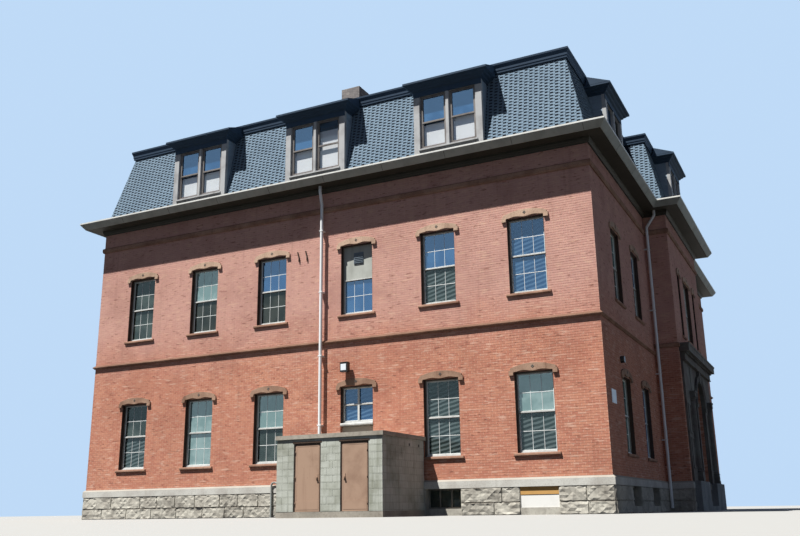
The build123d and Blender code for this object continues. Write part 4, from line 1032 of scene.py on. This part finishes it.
for inner, outer, out in ((1.0, 1.045, 0.17), (1.075, 1.13, 0.165), (1.15, 1.20, 0.175)):
    entrance.prism(arch_points(outer) + arch_points(inner)[::-1], (PORTAL_OUT, out), place)
entrance.prism([(-0.13, 4.93), (0.13, 4.93), (0.19, 5.36), (-0.19, 5.36)], (PORTAL_OUT, 0.20), place)
for sign in (-1, 1):
    a, b = sorted((sign * 0.96, sign * 1.26))
    entrance.box((a, b), (PORTAL_OUT, 0.18), (SPRING_LEVEL - 0.14, SPRING_LEVEL), place)
    entrance.box((a - 0.02, b + 0.02), (PORTAL_OUT, 0.195), (SPRING_LEVEL - 0.03, SPRING_LEVEL), place)
    for near, far in ((1.36, 1.96), (2.56, 3.20)):
        for level in ((1.5, 2.6), (2.75, 3.85)):
            entrance.surround((sign * near, sign * far), (PORTAL_OUT, 0.105), level, 0.05, place)
    spandrel = [(sign * 1.32, 5.30), (sign * 1.96, 5.30), (sign * 1.96, 4.45)]
    entrance.prism(spandrel[::sign], (PORTAL_OUT, 0.10), place)
dentil = -CORNICE_HALF + 0.12
while dentil < CORNICE_HALF - 0.15:
    entrance.box((dentil, dentil + 0.07), (FRIEZE_OUT, 0.25), (5.66, CORNICE_FOOT), place)
    dentil += 0.14
entrance.box(span(0.0, PORTAL_HALF), (FRIEZE_OUT, 0.205), (5.40, 5.44), place)
entrance.box(span(0.0, CORNICE_HALF + 0.02), (0.0, 0.384), (5.96, CORNICE_TOP), place)
piece("entrance_carving", entrance, "portal_stone", bevel=0.005)

# Rings at the columns' feet and heads, as (past the shaft, level), and the square blocks under and over
# them, as (low, high, half width)
FOOT_RINGS = ((0.06, 1.397), (0.075, 1.415), (0.06, 1.435), (0.02, 1.445), (0.015, 1.47), (0.035, 1.485),
              (0.02, 1.505), (0.001, 1.52))
HEAD_RINGS = ((0.001, 3.98), (0.03, 4.00), (0.03, 4.02), (0.005, 4.04), (0.03, 4.09), (0.055, 4.14))
SQUARE_BLOCKS = ((1.047, 1.16, 0.20), (1.16, 1.36, 0.185), (4.14, 4.20, 0.195), (4.30, 4.37, 0.21))
for sign in (-1, 1):
    for rings in (FOOT_RINGS, HEAD_RINGS):
        columns.turned([(COLUMN_RADIUS + past, level) for past, level in rings],
                       (PAVILION_FRONT + COLUMN_OUT, sign * COLUMN_PLACE))
    for low, high, wide in SQUARE_BLOCKS:
        columns.box(span(sign * COLUMN_PLACE, wide), (PORTAL_OUT, COLUMN_OUT + wide), (low, high), place)
piece("entrance_column_rings", columns, "portal_stone", bevel=0.004)

DOOR_FACE, FAN_BACK, FAN_BAR = -0.26, -0.345, 0.016
for sign in (-1, 1):
    a, b = sorted((sign * 0.06, sign * 0.86))
    for low, high in ((0.50, 1.25), (1.37, 2.05), (2.17, 2.95)):
        doors.surround((a, b), (DOOR_FACE, DOOR_FACE + 0.018), (low, high), 0.035, place)
        doors.box((a + 0.11, b - 0.11), (DOOR_FACE, DOOR_FACE + 0.012), (low + 0.11, high - 0.11), place)
    doors.box(span(sign * 0.05, 0.018), (DOOR_FACE, DOOR_FACE + 0.05), (1.30, 1.34), place, 1)
for i in range(1, 6):
    a, z = math.cos(math.pi * i / 6), math.sin(math.pi * i / 6)
    bar = [(r * a + side * z, SPRING_LEVEL + r * z - side * a)
           for r, side in ((0.25, FAN_BAR), (0.93, FAN_BAR), (0.93, -FAN_BAR), (0.25, -FAN_BAR))]
    doors.prism(bar, (FAN_BACK, DOOR_FACE - 0.03), place)
doors.prism(arch_points(0.26, 12), (FAN_BACK, DOOR_FACE - 0.028), place)
doors.box(span(0.0, 0.93), (FAN_BACK, DOOR_FACE - 0.028), span(SPRING_LEVEL, 0.03), place)
fan_foot = SPRING_LEVEL - 0.757
panes.prism([(1.0, fan_foot)] + arch_points(1.0) + [(-1.0, fan_foot)], (-0.362, -0.350), place, DIM)
piece("window_panes", panes, GLASS, replaces=("window_glass",))
piece("entrance_door_panels", doors, ("door_dark", "lamp_black"), bevel=0.003)

# Pipes' brackets, lamp, plate and hooks
SOUTH_LEVELS, EAST_LEVELS = (2.9, 5.2, 7.4, 9.6), (2.5, 4.9, 7.3, 9.7)
BRACKET_HALF, BRACKET_OUT, BRACKET_RISE = 0.068, 0.213, 0.018
fittings, lamp, plate, hooks, east = Shape(), Shape(), Shape(), Shape(), on_wall(EAST, HALF_X)
for place, at, levels in ((south, 0.42, SOUTH_LEVELS), (east, -3.76, EAST_LEVELS), (east, 3.76, EAST_LEVELS)):
    for level in levels:
        fittings.box(span(at, BRACKET_HALF), (0.0, BRACKET_OUT), span(level, BRACKET_RISE), place)
piece("pipe_brackets", fittings, "pipe_white", bevel=0.004)
lamp.box((1.27, 1.47), (0.255, 0.268), (4.63, 4.84), south)
lamp.box((1.235, 1.525), (0.10, 0.275), (4.895, 4.905), south, 1)
for i in range(5):
    lamp.box((1.26 + 0.05 * i, 1.275 + 0.05 * i), (0.095, 0.24), (4.903, 4.915), south, 1)
piece("flood_lens", lamp, ("plate_pale", "lamp_black"), bevel=0.004)
plate.box(span(-10.95, 0.275), (0.0, 0.022), (3.115, 3.525), east)
piece("wall_plate", plate, "plate_pale", bevel=0.006)
for at in (-0.66, -0.33):
    hooks.prism([(at, 9.02), (at + 0.035, 9.02), (at + 0.10, 8.80), (at + 0.10, 8.66), (at + 0.065, 8.66),
                 (at + 0.065, 8.79)], (0.0, 0.05), south)
piece("wall_hooks", hooks, "iron_dark", bevel=0.004)

# Chimney courses
stack, (near_x, far_x), (near_y, far_y) = Shape(), CHIMNEY_X, CHIMNEY_Y
for turn, reach, start, end in ((SOUTH, far_y, near_x, far_x), (NORTH, -near_y, -far_x, -near_x),
                                (EAST, far_x, -far_y, -near_y), (WEST, -near_x, near_y, far_y)):
    brick_courses(stack, turn, reach, start - BRICK_OUT, end + BRICK_OUT, [], *CHIMNEY_LEVELS)
piece("chimney_courses", stack, "chimney_brick")

# Shed: block courses, vents and the doors' trim
BLOCK_JOINT, SHED_DOOR_HALF, SHED_DOOR_FOOT, SHED_DOOR_TOP = 0.003, 0.409, 0.174, 2.06
DOOR_HOLE_HALF, DOOR_HEAD_HALF, LOCK_PLACE = 0.46, 0.50, 0.335
block_walls, vent_shade_plates = Shape(), Shape()
shed_front, shed_east = on_wall(SOUTH, SHED_FRONT), on_wall(EAST, SHED_RIGHT)


def block_course(turn, reach, start, end, holes):
    """Courses of blocks, every second one begun with a half, from the shed's floor to its roof."""
    place, row, level = on_wall(turn, reach), 0, SHED_FOOT
    while level < SHED_WALL_TOP - 0.02:
        top = min(SHED_WALL_TOP, level + BLOCK_HEIGHT)
        for at, right in gaps_in(start, end, level, top - 0.001, holes):
            length = BLOCK_LENGTH / 2 if row % 2 else BLOCK_LENGTH
            while right - at > 0.02:
                stop = right if right - at - length < 0.08 else at + length
                out = 0.005 + dice.uniform(-0.0015, 0.0015)
                block_walls.box((at + BLOCK_JOINT, stop - BLOCK_JOINT), (-0.002, out),
                                (level + BLOCK_JOINT, top - BLOCK_JOINT), place)
                at, length = stop, BLOCK_LENGTH
        level, row = top, row + 1


door_holes = [(*span(centre, DOOR_HOLE_HALF), 0.0, SHED_DOOR_HEAD) for centre, _, _ in SHED_DOORS]
block_course(SOUTH, SHED_FRONT, SHED_LEFT, SHED_RIGHT, door_holes)
vents = [(-12.95, -12.87, 2.02, 2.10), (-12.30, -12.22, 2.02, 2.10)]
block_course(EAST, SHED_RIGHT, -SHED_FRONT, -SHED_BACK, vents)
block_course(WEST, -SHED_LEFT, SHED_BACK, SHED_FRONT, [])
piece("shed_blocks", block_walls, "shed_block", bevel=0.003)
# The vents are black plates in the courses' gaps: painted shade of the openings
for left, right, low, high in vents:
    vent_shade_plates.box((left, right), (-0.001, 0.003), (low, high), shed_east)
piece("shed_vents", vent_shade_plates, "lamp_black")

heads = Shape()
for centre, hinge_side, body in SHED_DOORS:
    leaf, lock, (left, right) = Shape(), Shape(), span(centre, SHED_DOOR_HALF)
    leaf.box((left + 0.03, right - 0.03), (-0.02, -0.016), (SHED_DOOR_FOOT + 0.05, SHED_DOOR_FOOT + 0.30),
             shed_front)
    for ends, foot in (((left + 0.02, left + 0.05), SHED_DOOR_FOOT + 0.32),
                       ((right - 0.05, right - 0.02), SHED_DOOR_FOOT + 0.32),
                       ((left + 0.05, right - 0.05), SHED_DOOR_TOP - 0.05)):
        leaf.box(ends, (-0.02, -0.017), (foot, SHED_DOOR_TOP - 0.02), shed_front)
    piece(body + "_trim", leaf, "shed_door_paint", body=body, bevel=0.002)
    lock.box(span(centre - hinge_side * LOCK_PLACE, 0.03), (-0.021, -0.008), (1.05, 1.22), shed_front)
    piece(body + "_lock", lock, "shed_door_paint", body=body, bevel=0.002)
    heads.box(span(centre, DOOR_HEAD_HALF), (0.0, 0.012), (SHED_DOOR_HEAD, SHED_DOOR_HEAD + 0.05), shed_front)
piece("shed_door_heads", heads, "shed_frame_paint", bevel=0.003)

# Roof deck seams
SEAM_PITCH, SEAM_START, SEAM_END, SEAM_REACH, SEAM_LEVELS = 1.7, -8.5, 9.0, 10.9, (14.639, 14.647)
seams, at = Shape(), SEAM_START
while at < SEAM_END:
    seams.box(span(at, 0.02), span(0.0, SEAM_REACH), SEAM_LEVELS)
    at += SEAM_PITCH
piece("roof_seams", seams, "roof_seal")

# Camera, floor and light. The camera is the one solved from the building's edges in the photo
camera_data = bpy.data.cameras.new("camera")
camera_data.lens, camera_data.sensor_width, camera_data.clip_end = 39.227, 36.0, 500.0
camera = add_object("camera", camera_data)
right, up = (0.895109, 0.445638, -0.013634), (0.131278, -0.234215, 0.963280)
back = (0.426081, -0.864031, -0.268151)
turn_matrix = Matrix((right, up, back)).transposed().to_4x4()
camera.matrix_world = Matrix.Translation((15.660, -36.753, 0.166)) @ turn_matrix
bpy.context.scene.camera = camera

FLOOR_HALF = 300
floor_paint = Paint("floor", (214, 214, 210), 0.9)
rays = floor_paint.node("LightPath").outputs
mirrored = floor_paint.math("MAXIMUM", rays["Is Glossy Ray"], rays["Is Transmission Ray"])
shown = floor_paint.math("MAXIMUM", rays["Is Camera Ray"], mirrored)
floor_paint.set_base(floor_paint.mix(shown, (46, 46, 45), (150, 150, 148)))
floor_mesh = bpy.data.meshes.new("floor")
floor_mesh.from_pydata([(x * FLOOR_HALF, y * FLOOR_HALF, 0) for x, y in ((-1, -1), (1, -1), (1, 1), (-1, 1))],
                       [], [(0, 1, 2, 3)])
floor_mesh.materials.append(materials["floor"])
floor_object = add_object("floor", floor_mesh)

sun_data = bpy.data.lights.new("key", "SUN")
sun_data.energy, sun_data.angle, sun_data.color = 9.1, 0.012, (1.0, 0.97, 0.92)
sun = add_object("key", sun_data)
sun.rotation_euler = Vector((-0.8, -1.0, 2.7)).to_track_quat("Z", "Y").to_euler()

world = bpy.data.worlds.new("studio")
bpy.context.scene.world = world
world.use_nodes = True
sky = world.node_tree
fill, backdrop = sky.nodes["Background"], sky.nodes.new("ShaderNodeBackground")
for node, tint, strength in ((fill, (0.58, 0.70, 1.0, 1.0), 0.17), (backdrop, (0.55, 0.74, 0.98, 1.0), 0.95)):
    node.inputs["Color"].default_value = tint
    node.inputs["Strength"].default_value = strength
sky_rays = sky.nodes.new("ShaderNodeLightPath").outputs
reflected, seen = sky.nodes.new("ShaderNodeMath"), sky.nodes.new("ShaderNodeMath")
reflected.operation = seen.operation = "MAXIMUM"
both = sky.nodes.new("ShaderNodeMixShader")
for source, target in ((sky_rays["Is Glossy Ray"], reflected.inputs[0]),
                       (sky_rays["Is Transmission Ray"], reflected.inputs[1]),
                       (sky_rays["Is Camera Ray"], seen.inputs[0]), (reflected.outputs[0], seen.inputs[1]),
                       (seen.outputs[0], both.inputs[0]), (fill.outputs[0], both.inputs[1]),
                       (backdrop.outputs[0], both.inputs[2]),
                       (both.outputs[0], sky.nodes["World Output"].inputs[0])):
    sky.links.new(source, target)
bpy.context.scene.view_settings.view_transform = "Standard"
